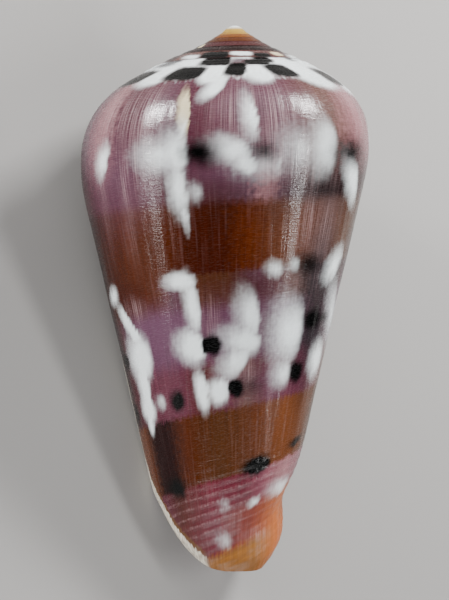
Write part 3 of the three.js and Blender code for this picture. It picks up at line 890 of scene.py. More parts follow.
class MarkGroup(NumberTree):
    """A node group that says how deep inside one mark, or inside those before it, a place lies.

    The value is 0 at a mark's outline, less outside and up to 1 inside, so that the shader can draw a crisp or a
    soft edge between two points of the mesh.
    """

    INPUTS = (
        "Stage", "Depth", "Reach so far", "Mark stage", "Mark depth", "Half turns", "Half length", "Slant",
        "Older fade", "Newer fade", "Strength", "Squareness", "End fade",
    )
    OUTSIDE = -2.0
    BLEED = 0.35  # how much further a soft newer side reaches
    NEWER_FADE = 1.5
    SIDES = (-0.7, 0.5)  # across a mark, where the older side's fade ends and the newer side's begins
    ENDS = (0.3, 0.9)  # along it, where its middle ends and its ends begin

    def __init__(self) -> None:
        super().__init__("one_mark", self.INPUTS, ["Reach"])
        given = self.given
        down = given["Depth"] - given["Mark depth"]
        aside = (given["Stage"] - given["Slant"] * down - given["Mark stage"]) / given["Half turns"]
        bled = aside / (1 + given["Newer fade"] * given["Newer fade"] * self.BLEED)
        across = self.add(MATH, aside, bled, operation="MINIMUM")
        along = self.add(MATH, down / given["Half length"], operation="ABSOLUTE")
        sideways = self.add(MATH, across, operation="ABSOLUTE")
        power = given["Squareness"]
        inside = 1 - (sideways**power + along**power) ** (self.add(MATH, 1.0, power, operation="DIVIDE"))
        side_fade = self.add(RANGE, across, *self.SIDES, given["Older fade"], given["Newer fade"] * self.NEWER_FADE)
        end_fade = self.add(RANGE, along, *self.ENDS, 0.0, given["End fade"])
        fade = self.add(MATH, side_fade, end_fade, operation="MAXIMUM")
        reach = self.add("ShaderNodeClamp", inside / fade, self.OUTSIDE, 1.0) * given["Strength"]
        self.add("NodeGroupOutput", self.add(MATH, given["Reach so far"], reach, operation="MAXIMUM"))


class ToneGroup(NumberTree):
    """A node group that says how deep inside the nearest mark of one tone a place lies.

    Args:
        tone: the tone.
        one_mark: the group that adds one mark.
        marks: the marks of the whole pattern.
    """

    def __init__(self, tone: Tone, one_mark: bpy.types.NodeTree, marks: list[Mark]) -> None:
        super().__init__(tone.name.lower(), ("Stage", "Depth"), ["Reach"])
        reach: Value = MarkGroup.OUTSIDE
        for mark in marks:
            if mark.tone is tone:
                values = self.given["Stage"], self.given["Depth"], reach, *astuple(mark)[1:], mark.ends
                reach = self.add("GeometryNodeGroup", *values, node_tree=one_mark)
        self.add("NodeGroupOutput", reach)


class ShellTree(GrowthRules):
    """The Geometry Nodes tree that grows the whole shell.

    Args:
        sizes: the shell that it grows.
    """

    def __init__(self, sizes: ConeShell) -> None:
        super().__init__("grow_cone_shell", sizes)
        self.tree.interface.new_socket("Material", in_out="INPUT", socket_type="NodeSocketMaterial")
        self.tree.interface.new_socket("Shell", in_out="OUTPUT", socket_type="NodeSocketGeometry")
        self.position = self.add("GeometryNodeInputPosition")
        rules = (GrowthRules.ramp_place, GrowthRules.shoulder_place, GrowthRules.side_place)
        self.ramp, self.shoulder, self.side = (PlaceGroup(sizes, rule).tree for rule in rules)
        self.write()

    def place(self, rule: bpy.types.NodeTree, stage: Value, share: Value) -> Place:
        """Return the place that a rule gives at a growth stage and a share of the way.

        Args:
            rule: the rule's node group.
            stage: the growth stage.
            share: the share of the way.

        Returns:
            The place.
        """
        values = {name: self.given[name] for name in self.sizes.tree_inputs()} | {"Stage": stage, "Share": share}
        found = self.add("GeometryNodeGroup", named=values, node_tree=rule)
        return Place(*(found[output] for output in PlaceGroup.OUTPUTS))

    def in_space(self, place: Place) -> Field:
        """Return a place as a point in space; the whorls grow clockwise seen from the apex.

        Args:
            place: the place.

        Returns:
            The point.
        """
        depth, radius, width = self.sizes.spire_hollow
        azimuth = place.stage * (-2 * math.pi)
        sunk = self.bell((place.radius - radius) / width) * depth
        cosine = self.add(MATH, azimuth, operation="COSINE")
        sine = self.add(MATH, azimuth, operation="SINE")
        return self.add(VECTOR, place.radius * cosine, place.radius * sine, (place.depth + sunk) * -1.0)

    def stored(self, geometry: Field, name: str, value: Field) -> Field:
        """Keep a vector on the corners of the faces, where a suture can have two values at one point."""
        named = {"Geometry": geometry, "Name": name, "Value": value}
        return self.add("GeometryNodeStoreNamedAttribute", named=named, data_type="FLOAT_VECTOR", domain="CORNER")

    def warped(self, block: Field, point: Field, growth: Field) -> Field:
        """Store the growth of a grid's or a cube's points and move them into place."""
        stored = self.stored(block, "growth", growth)
        return self.add("GeometryNodeSetPosition", named={"Geometry": stored, "Position": point})

    def sheet(self, columns: int, rows: int, surface: Surface) -> Field:
        """Lay a grid over a surface.

        Args:
            columns: how many steps it has across.
            rows: how many steps it has down.
            surface: gives the point and its growth attribute from the shares across and down.

        Returns:
            The sheet.
        """
        grid = self.add("GeometryNodeMeshGrid", 1.0, 1.0, columns + 1, rows + 1)
        spot = self.add(PARTS, self.position)
        return self.warped(grid, *surface(spot["X"] + 0.5, spot["Y"] + 0.5))

    # The outside, as sheets that share their edges

    def swept(self, rule: bpy.types.NodeTree, rows: int, turns: float) -> Field:
        """Return the sheet that one part of the growth line sweeps in the turns before the lip.

        Args:
            rule: the rule of that part.
            rows: how many steps it has down.
            turns: how many turns.

        Returns:
            The sheet.
        """

        def surface(across: Field, down: Field) -> tuple[Field, Field]:
            """Return the point and its growth stage, depth and depth past the rim.

            Args:
                across: the share of the turns.
                down: the share of the way down.

            Returns:
                The point and its growth.
            """
            place = self.place(rule, across * turns - turns, down)
            return self.in_space(place), self.add(VECTOR, place.stage, place.depth, place.past_rim)

        return self.sheet(round(turns * self.sizes.steps_per_turn), rows, surface)

    def lip_face(self, rule: bpy.types.NodeTree, rows: int, under_share: Value = None) -> Field:
        """Return the sheet between one part of the lip and the whorl under it, at the same share or a given one.

        Args:
            rule: the rule of that part.
            rows: how many steps it has down.
            under_share: the given share.

        Returns:
            The sheet.
        """

        def surface(down: Field, across: Field) -> tuple[Field, Field]:
            """Return the point between the whorl underneath and the lip.

            Args:
                down: the share of the way down.
                across: the share of the way out.

            Returns:
                The point and its growth.
            """
            lip = self.place(rule, 0.0, down)
            under = self.place(rule, -1.0, down if under_share is None else under_share)
            point = self.add(MIX, across, self.in_space(under), self.in_space(lip), data_type="VECTOR")
            return point, self.add(VECTOR, 0.0, lip.depth, INSIDE)

        return self.sheet(rows, 1, surface)

    def dome(self, edge: Field, top: Vector, inward: Field) -> Field:
        """Return a point of a rounded cap between its edge and its top.

        Args:
            edge: the point on its edge.
            top: its top.
            inward: the share of the way from edge to top.

        Returns:
            The point.
        """
        flat = self.add(PARTS, self.add(MIX, inward, edge, top, data_type="VECTOR"))
        rest = 1 - inward
        height = (self.add(PARTS, edge)["Z"] - top.z) * rest * rest + top.z
        return self.add(VECTOR, flat["X"], flat["Y"], height)

    def cap_sheets(self) -> list[Field]:
        """Return the caps of the apex and of the siphonal end, each with the wedge that closes it.

        Returns:
            The four sheets.
        """
        sizes = self.sizes
        oldest = -(sizes.spire_turns + 1.0)
        apex, end = Vector((0, 0, 0)), Vector((0, 0, -sizes.end_cap_depth))
        columella = self.add(VECTOR, -0.8, sizes.end_cap_depth, INSIDE)

        def end_cap(across: Field, inward: Field) -> tuple[Field, Field]:
            """Return the cap of the siphonal end."""
            return self.dome(self.in_space(self.place(self.side, across - 1.0, 1.0)), end, inward), columella

        def end_wedge(across: Field, inward: Field) -> tuple[Field, Field]:
            """Return the sector of that cap between the lip and the whorl under it."""
            lip, under = (self.in_space(self.place(self.side, stage, 1.0)) for stage in (0.0, -1.0))
            return self.dome(self.add(MIX, across, lip, under, data_type="VECTOR"), end, inward), columella

        def tip_cap(across: Field, outward: Field) -> tuple[Field, Field]:
            """Return the cap over the first whorl."""
            growth = self.add(VECTOR, outward + (oldest - 1.0), sizes.tip_depth, FAR_FROM_RIM)
            return self.dome(self.in_space(self.place(self.ramp, across + oldest, 0.0)), apex, 1 - outward), growth

        def tip_wedge(across: Field, outward: Field) -> tuple[Field, Field]:
            """Return the sector of the apex over the start of the first whorl."""
            growth = self.add(VECTOR, oldest, sizes.tip_depth, FAR_FROM_RIM)
            return self.dome(self.in_space(self.place(self.ramp, oldest, 1 - across)), apex, 1 - outward), growth

        caps = ((sizes.steps_per_turn, end_cap), (1, end_wedge), (sizes.steps_per_turn, tip_cap))
        return [self.sheet(columns, sizes.cap_rings, cap) for columns, cap in (*caps, (sizes.ramp_rows, tip_wedge))]

    def outside(self) -> Field:
        """Return the whole outside, with the points merged along the edges that its sheets share.

        Returns:
            The closed surface.
        """
        sizes = self.sizes
        side_rows = sizes.side_rows + sizes.cord_rows
        sheets = [
            self.swept(self.ramp, sizes.ramp_rows, sizes.spire_turns + 1.0),
            self.swept(self.shoulder, sizes.shoulder_rows, 1.0),
            self.swept(self.side, side_rows, 1.0),
            self.lip_face(self.ramp, sizes.ramp_rows, 1.0),
            self.lip_face(self.shoulder, sizes.shoulder_rows),
            self.lip_face(self.side, side_rows),
            *self.cap_sheets(),
        ]
        join = self.tree.nodes.new("GeometryNodeJoinGeometry")
        for sheet in sheets:
            self.tree.links.new(sheet.socket, join.inputs[0])
        return self.add("GeometryNodeMergeByDistance", Field(join.outputs[0]), None, 1e-3)

    def hollow(self) -> Field:
        """Return the space that the animal lived in: a long box that follows the whorls, open at the lip.

        Returns:
            The closed box.
        """
        sizes = self.sizes
        box = self.add("GeometryNodeMeshCube", (1, 1, 1), sizes.hollow_steps + 1, sizes.hollow_rows + 1, 2)
        spot = self.add(PARTS, self.position)
        stage = self.add(RANGE, spot["X"], -0.5, 0.5, -sizes.hollow_turns, sizes.past_lip)
        down, inward = spot["Y"] + 0.5, spot["Z"] + 0.5
        floor = self.table(stage, sizes.floor_depths, sizes.open_depth)
        thinned = self.add(RANGE, stage, -sizes.lip_thinning, 0.0, **SMOOTH)
        wall = self.add(MIX, thinned, self.given["Wall"], self.given["Lip wall"], data_type="FLOAT")
        outer = self.hollow_place(stage, down, sizes.roof_outer, floor, wall * -1.0)
        inner = self.hollow_place(stage - 1.0, down, sizes.roof_inner, floor, self.given["Callus"])
        point = self.add(MIX, inward, self.in_space(outer), self.in_space(inner), data_type="VECTOR")
        placed = self.warped(box, point, self.add(VECTOR, stage, outer.depth, INSIDE))
        return self.add("GeometryNodeFlipFaces", placed)

    def marked(self, shell: Field) -> Field:
        """Store the pattern on the shell, one attribute for each three tones.

        Args:
            shell: the bare shell.

        Returns:
            The shell with its marks.
        """
        sizes = self.sizes
        growth = self.add(PARTS, self.add("GeometryNodeInputNamedAttribute", "growth", data_type="FLOAT_VECTOR"))
        waver = self.add(PARTS, self.uneven(growth["X"], growth["Y"], sizes.mark_pace, 2.0, 0.5)["Color"])
        size = self.add(RANGE, growth["Y"], 6.0, 16.0, 0.2, 1.0)  # the marks of the spire are small, and waver less
        places = [growth[axis] + (waver[axis] - 0.5) * size * far for axis, far in zip("XY", sizes.mark_waver)]
        marks, one_mark = pattern(sizes.expansion), MarkGroup().tree
        for attribute in dict.fromkeys(tone.attribute for tone in Tone):
            groups = [ToneGroup(tone, one_mark, marks).tree for tone in Tone if tone.attribute == attribute]
            reaches = [self.add("GeometryNodeGroup", *places, node_tree=group) for group in groups]
            shell = self.stored(shell, attribute, self.add(VECTOR, *reaches))
        return shell

    def laid_down(self, shell: Field) -> Field:
        """Roll and tip the shell into its pose at rest, set it on the floor and centre it there, in metres.

        Args:
            shell: the shell as it grew.

        Returns:
            The shell in its place.
        """
        roll = self.add(VECTOR, 0.0, 0.0, self.given["Roll"])
        tilt = self.add(VECTOR, self.given["Tilt"], 0.0, 0.0)
        for change in ({"Rotation": roll}, {"Rotation": tilt, "Scale": (MM, MM, MM)}):
            shell = self.add("GeometryNodeTransform", named={"Geometry": shell, **change})
        box = self.add("GeometryNodeBoundBox", shell)
        low, high = self.add(PARTS, box["Min"]), self.add(PARTS, box["Max"])
        middle = [(low[axis] + high[axis]) * -0.5 for axis in "XY"]
        shift = self.add(VECTOR, *middle, low["Z"] * -1.0)
        return self.add("GeometryNodeTransform", named={"Geometry": shell, "Translation": shift})

    def write(self) -> None:
        """Join everything, cut out the hollow, store the marks, lay the shell down and finish its faces."""
        whole = self.outside(), self.hollow()
        shell = self.add("GeometryNodeMeshBoolean", *whole, operation="DIFFERENCE", solver="MANIFOLD")
        shell = self.laid_down(self.marked(shell))
        sharp = math.radians(self.sizes.sharp_degrees)
        flat = self.add(MATH, self.add("GeometryNodeInputMeshEdgeAngle"), sharp, operation="LESS_THAN")
        for domain, smooth in (("FACE", True), ("EDGE", flat)):
            smoothed = {"Geometry": shell, "Shade Smooth": smooth}
            shell = self.add("GeometryNodeSetShadeSmooth", named=smoothed, domain=domain)
        shell = self.add("GeometryNodeRealizeInstances", shell)
        shell = self.add("GeometryNodeSetMaterial", named={"Geometry": shell, "Material": self.given["Material"]})
        self.add("NodeGroupOutput", shell)


# Finishes


class Pigment(Enum):
    """The colours in the shell."""

    CHALK = "e7eeef"
    IVORY = "af8f41"
    GOLD = "7f5224"
    APRICOT = "a95f33"
    AMBER = "643920"
    RUST = "542d19"
    CHESTNUT = "431901"
    BISTRE = "452712"
    UMBER = "330e01"
    EMBER = "150101"
    INK = "010101"
    BLUSH = "91666a"
    MAUVE = "533742"
    LILAC = "5a394d"
    ROSE = "572b39"
    MADDER = "5d222e"
    PINK = "723846"
    CORAL = "7b392d"
    SIENNA = "4c1c01"
    PLUM = "49232f"
    WINE = "47231e"
    DUSK = "3c1e21"
    TAN = "614842"
    SLATE = "272122"


Stops = tuple[tuple[float, Pigment], ...]  # colours at growth stages before the lip, in turns


@dataclass(frozen=True)
class Zone:
    """A spiral zone of the shell's ground colour.

    Args:
        start: the level where it begins, in millimetres.
        softness: how far its upper edge fades, in millimetres.
        colours: its colours.
    """

    start: float
    softness: float
    colours: Stops


def ground_colours() -> tuple[Stops, tuple[Zone, ...]]:
    """Return the colours of the spire, whorl by whorl, and the zones of the last whorl from the shoulder down.

    Returns:
        The colours of the spire, and the zones.
    """
    chalk, ivory, gold, apricot, amber, rust, chestnut, bistre, umber, ember, ink, blush, *others = Pigment
    mauve, lilac, rose, madder, pink, coral, sienna, plum, wine, dusk, tan, slate = others
    spire = (
        (0, chalk), (0.9, chalk), (1.05, tan), (1.5, dusk), (2, ink), (2.5, ink), (3.2, dusk), (4.1, bistre),
        (4.8, amber), (5.8, gold), (6.6, ivory), (7.2, ivory), (7.6, chalk),
    )
    # In the zones from the shoulder down to the rose one, the first stop, at the lip, is near black or dark grey:
    # painted shade along the left edge, which turns away from the light.
    zones = (
        Zone(8, 1.6, (
            (0, slate), (0.04, mauve), (0.085, blush), (0.11, plum), (0.13, plum), (0.17, mauve), (0.21, plum),
            (0.25, mauve), (0.3, mauve), (0.37, tan), (0.42, blush), (0.6, mauve), (1, mauve),
        )),
        Zone(20.5, 5, (
            (0, dusk), (0.07, plum), (0.13, plum), (0.19, dusk), (0.235, dusk), (0.265, mauve), (0.285, blush),
            (0.305, mauve), (0.33, dusk), (0.36, slate), (0.55, dusk), (0.7, rose), (1, dusk),
        )),
        Zone(25, 1.8, (
            (0, ink), (0.06, umber), (0.11, chestnut), (0.15, chestnut), (0.2, umber), (0.235, umber),
            (0.265, sienna), (0.3, rust), (0.35, rust), (0.375, tan), (0.43, bistre), (0.5, umber), (1, chestnut),
        )),
        Zone(34.3, 0.8, (
            (0, ink), (0.05, umber), (0.14, chestnut), (0.17, mauve), (0.2, bistre), (0.24, bistre), (0.28, mauve),
            (0.33, tan), (0.37, slate), (0.5, dusk), (1, wine),
        )),
        Zone(38.8, 2.6, (
            (0, ink), (0.04, dusk), (0.1, lilac), (0.32, lilac), (0.38, slate), (0.47, mauve), (1, lilac),
        )),
        Zone(46, 3, (
            (0, ink), (0.04, dusk), (0.1, rose), (0.16, rose), (0.2, wine), (0.24, rose), (0.27, tan), (0.31, rose),
            (0.38, rose), (0.47, tan), (1, rose),
        )),
        Zone(52.7, 0.9, (
            (0, rust), (0.05, rust), (0.08, ember), (0.12, ember), (0.155, chestnut), (0.22, bistre), (0.29, rust),
            (0.35, amber), (0.45, bistre), (1, umber),
        )),
        Zone(61.9, 0.7, (
            (0, rust), (0.06, rose), (0.12, wine), (0.2, madder), (0.27, madder), (0.31, pink), (0.37, blush),
            (0.5, rose), (1, rose),
        )),
        Zone(66.5, 2.4, (
            (0, rust), (0.1, wine), (0.2, madder), (0.3, coral), (0.41, apricot), (0.6, rust), (1, rust),
        )),
        Zone(71.8, 1.6, ((0, tan), (0.17, gold), (0.32, gold), (0.41, apricot), (1, amber))),
        Zone(80, 5, ((0, tan), (0.5, rose), (1, blush))),
    )
    return spire, zones


@dataclass(frozen=True)
class Grain:
    """An uneven pattern in the shell, drawn out along the growth lines or along the spirals.

    Args:
        across: its size across the growth lines, in millimetres.
        down: its size along them, in millimetres, on a whorl of the full size.
        seed: which noise it is.
        detail: how many finer layers it has.
    """

    across: float
    down: float
    seed: float
    detail: float


@dataclass(frozen=True)
class PolishedShell:
    """Aragonite, as the mantle of a cone lays it down and its cleaned shell shows it.

    It is a hard, glossy, slightly waxy ceramic. The pigment lies in it, so the marks have soft edges under a clear
    gloss, and the fine growth lines and spiral threads break the highlights up into a weave.
    """

    expansion: float = 1.334
    mm_per_turn: float = 125.0
    cord_spacing: float = 1.2
    streaks: Grain = Grain(1.25, 25.0, 0.0, 4.0)
    growth_lines: Grain = Grain(0.35, 25.0, 7.0, 2.0)  # really about 0.1 mm apart, drawn as fine as can show
    blotches: Grain = Grain(2.0, 2.0, 3.0, 3.0)
    spirals: Grain = Grain(10.0, 0.625, 5.0, 3.0)
    threads: Grain = Grain(10 / 3, 0.40, 9.0, 1.0)  # really about 0.15 mm apart, drawn coarser for the same reason
    pale_lines: Grain = Grain(2.0, 100 / 3, 11.0, 1.0)
    zone_wander: tuple[float, float] = (0.9, 1.2)  # how far streaks and blotches move the zones' edges, in mm
    mark_wander: tuple[float, float] = (0.12, 0.25)  # the same for the marks, as shares of their reach
    light: tuple[float, ...] = (0.36, 0.6, 0.25, 0.42)  # its lightness, and what the first two and the spirals add
    growth_line_height: float = 0.010
    thread_height: float = 0.032
    swell_height: float = 0.014
    roughness: float = 0.11
    duller_lines: float = 0.06
    duller_between: float = 0.16  # the grooves between the spiral threads, which break the highlights into a weave
    duller_end: float = 0.18  # the siphonal end is worn and satiny
    ior: float = 1.5
    specular: float = 0.3  # about half of what a polished surface gives, because fine lines cover all of it
    chalky_spire: float = 0.05  # the older whorls are rubbed dull, and hardly mirror anything
    spire_end: tuple[float, float] = (7.5, 10.0)  # the levels between which the gloss sets in
    cords: tuple[float, float, float, float] = (61.5, 64.0, 67.0, 71.0)  # levels where they show: from, full, to, end
    strip_stages: tuple[float, float] = (-0.17, -0.15)  # where the pale strip along the rim sets in
    strip_width: tuple[float, float] = (1.3, 3.2)  # its width there and near the lip
    white: str = Pigment.CHALK.value
    black: str = Pigment.INK.value
    lilac: str = "5c3c50"
    brown: str = "320401"
    # the dusk's colour, which also paints shade along the edges
    dusk: str = "190101"
    # the grey's colour, which also paints shade along the edges
    grey: str = "242024"
    # the veil's colour: pale lines, and painted highlight in the veil marks
    veil: str = "c0a2a3"
    rim_line: str = "5d4127"
    cream: str = "d8caa6"
    rim: str = "cfc8b8"
    nacre: str = "ebe4e0"
    nacre_deep: str = "c2a9b6"

    def material(self) -> bpy.types.Material:
        """Return the node material."""
        return new_material("polished_aragonite", lambda tree: ShellPaint(tree, self).write())


def new_material(name: str, write: Callable[[bpy.types.NodeTree], object]) -> bpy.types.Material:
    """Return a material with the nodes that a function writes into its empty tree.

    Args:
        name: its name.
        write: the function.

    Returns:
        The material.
    """
    material = bpy.data.materials.new(name)
    material.use_nodes = True
    material.node_tree.nodes.clear()
    write(material.node_tree)
    return material


class ShellPaint(TreeWriter):
    """The shader of the shell, which reads the growth stage, the depth and the marks that the mesh carries.

    Args:
        tree: the material's tree.
        finish: the colours and pattern sizes.
    """

    def __init__(self, tree: bpy.types.NodeTree, finish: PolishedShell) -> None:
        super().__init__(tree)
        self.finish = finish
        self.stage, self.depth, self.past_rim = self.stored("growth")
        self.level = self.depth / finish.expansion**self.stage
        self.along = self.stage * finish.mm_per_turn
        grains = finish.streaks, finish.growth_lines, finish.blotches, finish.spirals, finish.threads
        self.streaks, self.growth_lines, self.blotches, self.spirals, self.threads = map(self.noise, grains)

    def stored(self, attribute: str) -> tuple[Field, Field, Field]:
        """Return the three values of an attribute that the mesh carries."""
        parts = self.add(PARTS, self.add("ShaderNodeAttribute", attribute_name=attribute)["Vector"])
        return parts["X"], parts["Y"], parts["Z"]

    def noise(self, grain: Grain) -> Field:
        """Return the noise of an uneven pattern, 0.5 on average."""
        where = self.add(VECTOR, self.along * (1 / grain.across), self.level * (1 / grain.down), grain.seed)
        return self.add(NOISE, where, None, 1.0, grain.detail, 0.6)

    def along_growth(self, colours: Stops) -> Field:
        """Return the colour that changes with the growth stage.

        Args:
            colours: colours at growth stages before the lip, in turns.

        Returns:
            The colour.
        """
        span = colours[-1][0]
        wander = (self.blotches - 0.5) * 0.03
        ramp = self.add("ShaderNodeValToRGB", (self.stage + wander) / -span)
        elements = ramp.socket.node.color_ramp.elements
        elements[0].position, elements[1].position = colours[0][0] / span, 1.0
        for stage, _ in colours[1:-1]:
            elements.new(stage / span)
        for element, (_, colour) in zip(elements, colours):
            element.color = linear(colour.value)
        return ramp

    def layered(self, colour: Value, *layers: tuple[Value, Field]) -> Field:
        """Lay layers over a colour, one after the other.

        Args:
            colour: the colour underneath.
            layers: the hexadecimal colour or the field of each layer, and the share that it covers.

        Returns:
            The colour on top.
        """
        for cover, share in layers:
            above = linear(cover) if isinstance(cover, str) else cover
            colour = self.add(MIX, share, colour, above, data_type="RGBA")
        return colour

    def ground(self) -> Field:
        """Return the ground colour: the spire, then the spiral zones one below the other, with their streaks.

        Returns:
            The colour.
        """
        by_streaks, by_blotches = self.finish.zone_wander
        uneven = (self.streaks - 0.5) * by_streaks + (self.blotches - 0.5) * by_blotches
        spire, zones = ground_colours()
        colour = self.along_growth(spire)
        for zone in zones:
            half = zone.softness / 2
            edge = self.level + uneven * min(1.0, zone.softness)
            share = self.add(RANGE, edge, zone.start - half, zone.start + half, **SMOOTH)
            colour = self.layered(colour, (self.along_growth(zone.colours), share))
        plain, streaks, lines, spirals = self.finish.light
        value = plain + self.streaks * streaks + self.growth_lines * lines + self.spirals * spirals
        colour = self.add("ShaderNodeHueSaturation", 0.5, 1.0, value, 1.0, colour)
        pale = self.add(RANGE, self.noise(self.finish.pale_lines), 0.5, 0.8, **SMOOTH)
        return self.layered(colour, (self.finish.veil, pale * 0.06))

    def cord_crests(self) -> Field:
        """Return how fully pale lines cover the crests of the cords that wind around the siphonal end.

        Returns:
            The share.
        """
        begin, full, fading, end = self.finish.cords
        wave = self.add(MATH, self.level * (2 * math.pi) / self.finish.cord_spacing, operation="COSINE")
        crest = self.add(RANGE, wave + (self.spirals - 0.5) * 2, 0.0, 1.2, **SMOOTH)
        share = self.add(RANGE, self.level, begin, full, **SMOOTH) * self.add(RANGE, self.level, end, fading, **SMOOTH)
        return crest * share * self.add(RANGE, self.blotches, 0.4, 0.65, 0.03, 0.2)

    def cover(self, reach: Field, start: float, end: float) -> Field:
        """Return how fully a mark covers, with edges that bleed along the growth lines.

        Args:
            reach: how deep inside the mark a place lies.
            start: the reach where it begins to cover.
            end: the reach where it covers fully.

        Returns:
            The share.
        """
        by_streaks, by_blotches = self.finish.mark_wander
        jagged = reach + (self.streaks - 0.5) * by_streaks + (self.blotches - 0.5) * by_blotches
        return self.add(RANGE, jagged, start, end, **SMOOTH)

    def outside(self) -> Field:
        """Return the colour of the outside: the ground with the marks over it.

        Returns:
            The colour.
        """
        finish = self.finish
        white, black, lilac = self.stored("marks")
        brown, cream, grey = self.stored("tints")
        veil, dusk, _ = self.stored("veils")
        fringe = self.cover(black, -0.9, 0.1) * self.add(RANGE, self.level, 9.0, 10.5, 0.6, 0.0)
        return self.layered(
            self.ground(),
            (finish.veil, self.cord_crests()),
            (finish.lilac, self.cover(lilac, -0.5, 1.0) * 0.8),
            (finish.brown, self.cover(brown, -0.5, 1.0) * 0.85),
            # grey clouding, and painted shade along the edges
            (finish.grey, self.cover(grey, -0.5, 1.0) * 0.85),
            # dark patches, and painted shade along the edges that turn away
            (finish.dusk, self.cover(dusk, -0.5, 1.0) * 0.7),
            # pale growth lines, and painted highlight where the softboxes gleam
            (finish.veil, self.cover(veil, -0.4, 0.9) * self.add(RANGE, self.growth_lines, 0.42, 0.7) * 0.5),
            (finish.cream, self.cover(cream, -0.1, 0.5) * 0.9),
            (finish.white, self.cover(white, -0.35, 1.1) * 0.97),
            (finish.brown, fringe),
            (finish.black, self.cover(black, -0.4, 0.85)),
        )

    def edges(self, colour: Field) -> Field:
        """Lay the pale rim of the siphonal end, the thin edge of the lip and the dark suture over the outside.

        Args:
            colour: the colour of the outside.

        Returns:
            The colour with its edges.
        """
        finish = self.finish
        begin, full = finish.strip_stages
        width = self.add(RANGE, self.stage, begin, -0.06, *finish.strip_width)
        near_lip = self.add(RANGE, self.stage, begin, full)
        strip = self.past_rim + (self.blotches - 0.5) * 0.9 + width
        lip_width = (
            self.add(RANGE, self.depth, 34.0, 44.0, 0.004, 0.013) + self.add(RANGE, self.depth, 55.5, 62.0, 0.0, 0.023)
        )
        seam = self.add(RANGE, self.level, 5.08, 5.3, 0.85, 0.0, **SMOOTH) * self.add(RANGE, self.stage, -5.0, -3.0)
        chalky = self.add(RANGE, self.blotches, 0.35, 0.6, 0.5, 0.95)
        return self.layered(
            colour,
            (finish.rim_line, self.add(RANGE, strip, -0.9, -0.4, **SMOOTH) * near_lip * 0.8),
            (finish.rim, self.add(RANGE, strip, 0.0, 0.3, **SMOOTH) * near_lip * chalky),
            (finish.rim, self.add(RANGE, self.stage + lip_width, 0.0, 0.003)),
            (finish.dusk, seam),
        )

    def write(self) -> None:
        """Write the whole shader."""
        finish = self.finish
        inside = self.add(MATH, self.past_rim, INSIDE / 2, operation="GREATER_THAN")
        deep = self.add(RANGE, self.stage, -0.05, -0.5, **SMOOTH)
        nacre = self.layered(linear(finish.nacre), (finish.nacre_deep, deep))
        colour = self.layered(self.edges(self.outside()), (nacre, inside))
        lines = self.growth_lines * finish.growth_line_height + self.streaks * finish.swell_height
        height = lines + self.threads * self.spirals * finish.thread_height
        relief = self.add("ShaderNodeBump", named={"Strength": 1.0, "Distance": MM, "Height": height * (1 - inside)})
        worn = self.add(RANGE, self.level, 60.0, 66.0, **SMOOTH) * finish.duller_end
        between = self.add(RANGE, self.threads, 0.58, 0.42) * finish.duller_between
        gloss = self.add(RANGE, self.level, *finish.spire_end, finish.chalky_spire, finish.specular)
        sockets = {
            "Base Color": colour,
            "Roughness": finish.roughness + self.growth_lines * finish.duller_lines + between + worn,
            "Normal": relief,
            "IOR": finish.ior,
            "Specular IOR Level": gloss,
        }
        self.add("ShaderNodeOutputMaterial", self.add("ShaderNodeBsdfPrincipled", named=sockets))


@dataclass(frozen=True)
class PaintedFloor:
    """Matt white paint on a rolled studio floor, which keeps reflections out of the picture."""

    colour: str = "9a9896"
    roughness: float = 0.8
    specular: float = 0.0

    def write(self, tree: bpy.types.NodeTree) -> None:
        """Write the shader.

        Args:
            tree: the material's empty tree.
        """
        sockets = {
            "Base Color": linear(self.colour), "Roughness": self.roughness, "Specular IOR Level": self.specular,
        }
        add_node(tree, "ShaderNodeOutputMaterial", add_node(tree, "ShaderNodeBsdfPrincipled", named=sockets))

    def material(self) -> bpy.types.Material:
        """Return the node material."""
        return new_material("matt_floor_paint", self.write)


# The studio


class Reach(Enum):
    """What a light does: both things, the mirrored highlight alone, or the even light alone."""

    ALL = (True, True)
    GLOSS = (False, True)
    FILL = (True, False)


@dataclass(frozen=True)
class SoftLight:
    """A rectangular softbox that faces the shell, upright along its axis.

    Args:
        name: its name.
        direction: where it stands, as shares to the right, towards the viewer and up along the axis.
        distance: how far away it stands, in millimetres.
        size: its width and height, in millimetres.
        power: its power, in watts.
        reach: what it does; a low one only gleams, so that it leaves no bright line on the floor.
    """

    name: str
    direction: tuple[float, float, float]
    distance: float
    size: tuple[float, float]
    power: float
    reach: Reach = Reach.ALL

    def build(self, target: Vector, right: Vector, view: Vector, up: Vector) -> None:
        """Make the light.

        Args:
            target: the point that it faces, in metres.
            right: the direction to the shell's right side.
            view: the direction towards the viewer.
            up: the direction of the apex, across the view.
        """
        lamp = bpy.data.lights.new(self.name, "AREA")
        lamp.shape = "RECTANGLE"
        lamp.size, lamp.size_y = (side * MM for side in self.size)
        lamp.energy = self.power
        light = bpy.data.objects.new(self.name, lamp)
        light.visible_diffuse, light.visible_glossy = self.reach.value
        to_right, to_viewer, to_apex = self.direction
        direction = right * to_right + view * to_viewer + up * to_apex
        place_facing(light, target + direction.normalized() * self.distance * MM, target, up)


def place_facing(thing: bpy.types.Object, place: Vector, target: Vector, upright: Vector) -> None:
    """Put a light or a camera into the scene, looking at a target with its top towards a direction.

    Args:
        thing: the object.
        place: where it goes, in metres.
        target: the point that it looks at, in metres.
        upright: the direction that its top points along.
    """
    back = (place - target).normalized()
    right = upright.cross(back).normalized()
    turn = Matrix((right, back.cross(right), back)).transposed()
    thing.matrix_world = Matrix.Translation(place) @ turn.to_4x4()
    bpy.context.scene.collection.objects.link(thing)


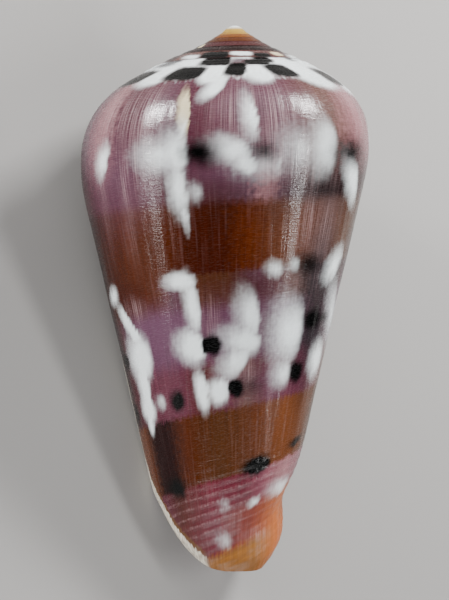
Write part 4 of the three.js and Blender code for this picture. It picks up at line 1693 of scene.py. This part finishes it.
@dataclass
class Studio:
    """The floor, the lights and the camera, which looks at the shell as the photograph does."""

    floor_side: float = 6000.0
    air_light: float = 0.05
    axis_up: Vector = field(default_factory=lambda: Vector((0, 0.97437, 0.22495)))
    view: Vector = field(default_factory=lambda: Vector((-0.5314, -0.19056, 0.82541)))
    aim: Vector = field(default_factory=lambda: Vector((0.164, 0.319, 10.268)))
    distance: float = 400.0
    mm_per_pixel: float = 0.1294
    photo_height: int = 600
    sensor_height: float = 36.0
    clipping: tuple[float, float] = (0.01, 20.0)
    boxes: tuple[SoftLight, ...] = (
        SoftLight("right_strip", (0.84, 0.46, -0.10), 450, (15, 240), 1.2),
        SoftLight("right_top", (0.67, 0.12, 0.72), 250, (40, 80), 1.2),
        SoftLight("left_strip", (-0.85, 0.50, -0.02), 124, (6, 110), 0.10, Reach.GLOSS),
        SoftLight("left_top", (-0.71, 0.23, 0.67), 250, (40, 90), 1.9, Reach.GLOSS),
        SoftLight("left_fill", (-0.70, 0.48, 0.57), 500, (100, 100), 4.2, Reach.FILL),
        SoftLight("low_key", (0.0, 0.53, -0.86), 700, (900, 300), 6.2),
        SoftLight("top_fill", (0.2, 0.50, 0.85), 1000, (1000, 700), 4.0),
    )

    def floor(self) -> None:
        """Make the plain pale floor under the shell."""
        half = self.floor_side / 2 * MM
        mesh = bpy.data.meshes.new("floor")
        mesh.from_pydata([(-half, -half, 0), (half, -half, 0), (half, half, 0), (-half, half, 0)], [], [(0, 1, 2, 3)])
        mesh.materials.append(PaintedFloor().material())
        floor = bpy.data.objects.new("floor", mesh)
        bpy.context.scene.collection.objects.link(floor)
        floor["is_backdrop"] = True

    def lights(self) -> None:
        """Make the softboxes and the faint light of the room."""
        for box in self.boxes:
            box.build(self.aim * MM, self.axis_up.cross(self.view), self.view, self.axis_up)
        world = bpy.data.worlds.new("studio_air")
        world.use_nodes = True
        air = world.node_tree.nodes["Background"].inputs
        air["Color"].default_value = linear("ffffff")
        air["Strength"].default_value = self.air_light
        bpy.context.scene.world = world

    def camera(self) -> None:
        """Make the camera at the photograph's viewing angle, with its frame and its scale."""
        lens = bpy.data.cameras.new("photo_view")
        lens.sensor_fit = "VERTICAL"
        lens.sensor_height = self.sensor_height
        lens.lens = self.sensor_height * self.distance / (self.mm_per_pixel * self.photo_height)
        lens.clip_start, lens.clip_end = self.clipping
        camera = bpy.data.objects.new("photo_view", lens)
        target = self.aim * MM
        place_facing(camera, target + self.view.normalized() * self.distance * MM, target, self.axis_up)
        bpy.context.scene.camera = camera


def main() -> None:
    """Build the shell and the studio, and report each piece."""
    logging.basicConfig(level=logging.INFO, format="%(name)s: %(message)s")
    studio = Studio()
    studio.camera()
    studio.lights()
    studio.floor()
    LOG.info("studio ready")
    shell = ConeShell()
    piece = shell.build(PolishedShell(shell.expansion).material())
    shell.dress(piece)
    LOG.info("%s: %d faces", piece.name, len(piece.data.polygons))
    for box in (CAD_BOX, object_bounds()):
        json.dumps([list(corner) for corner in box]) + "\n"


if __name__ == "__main__":
    main()
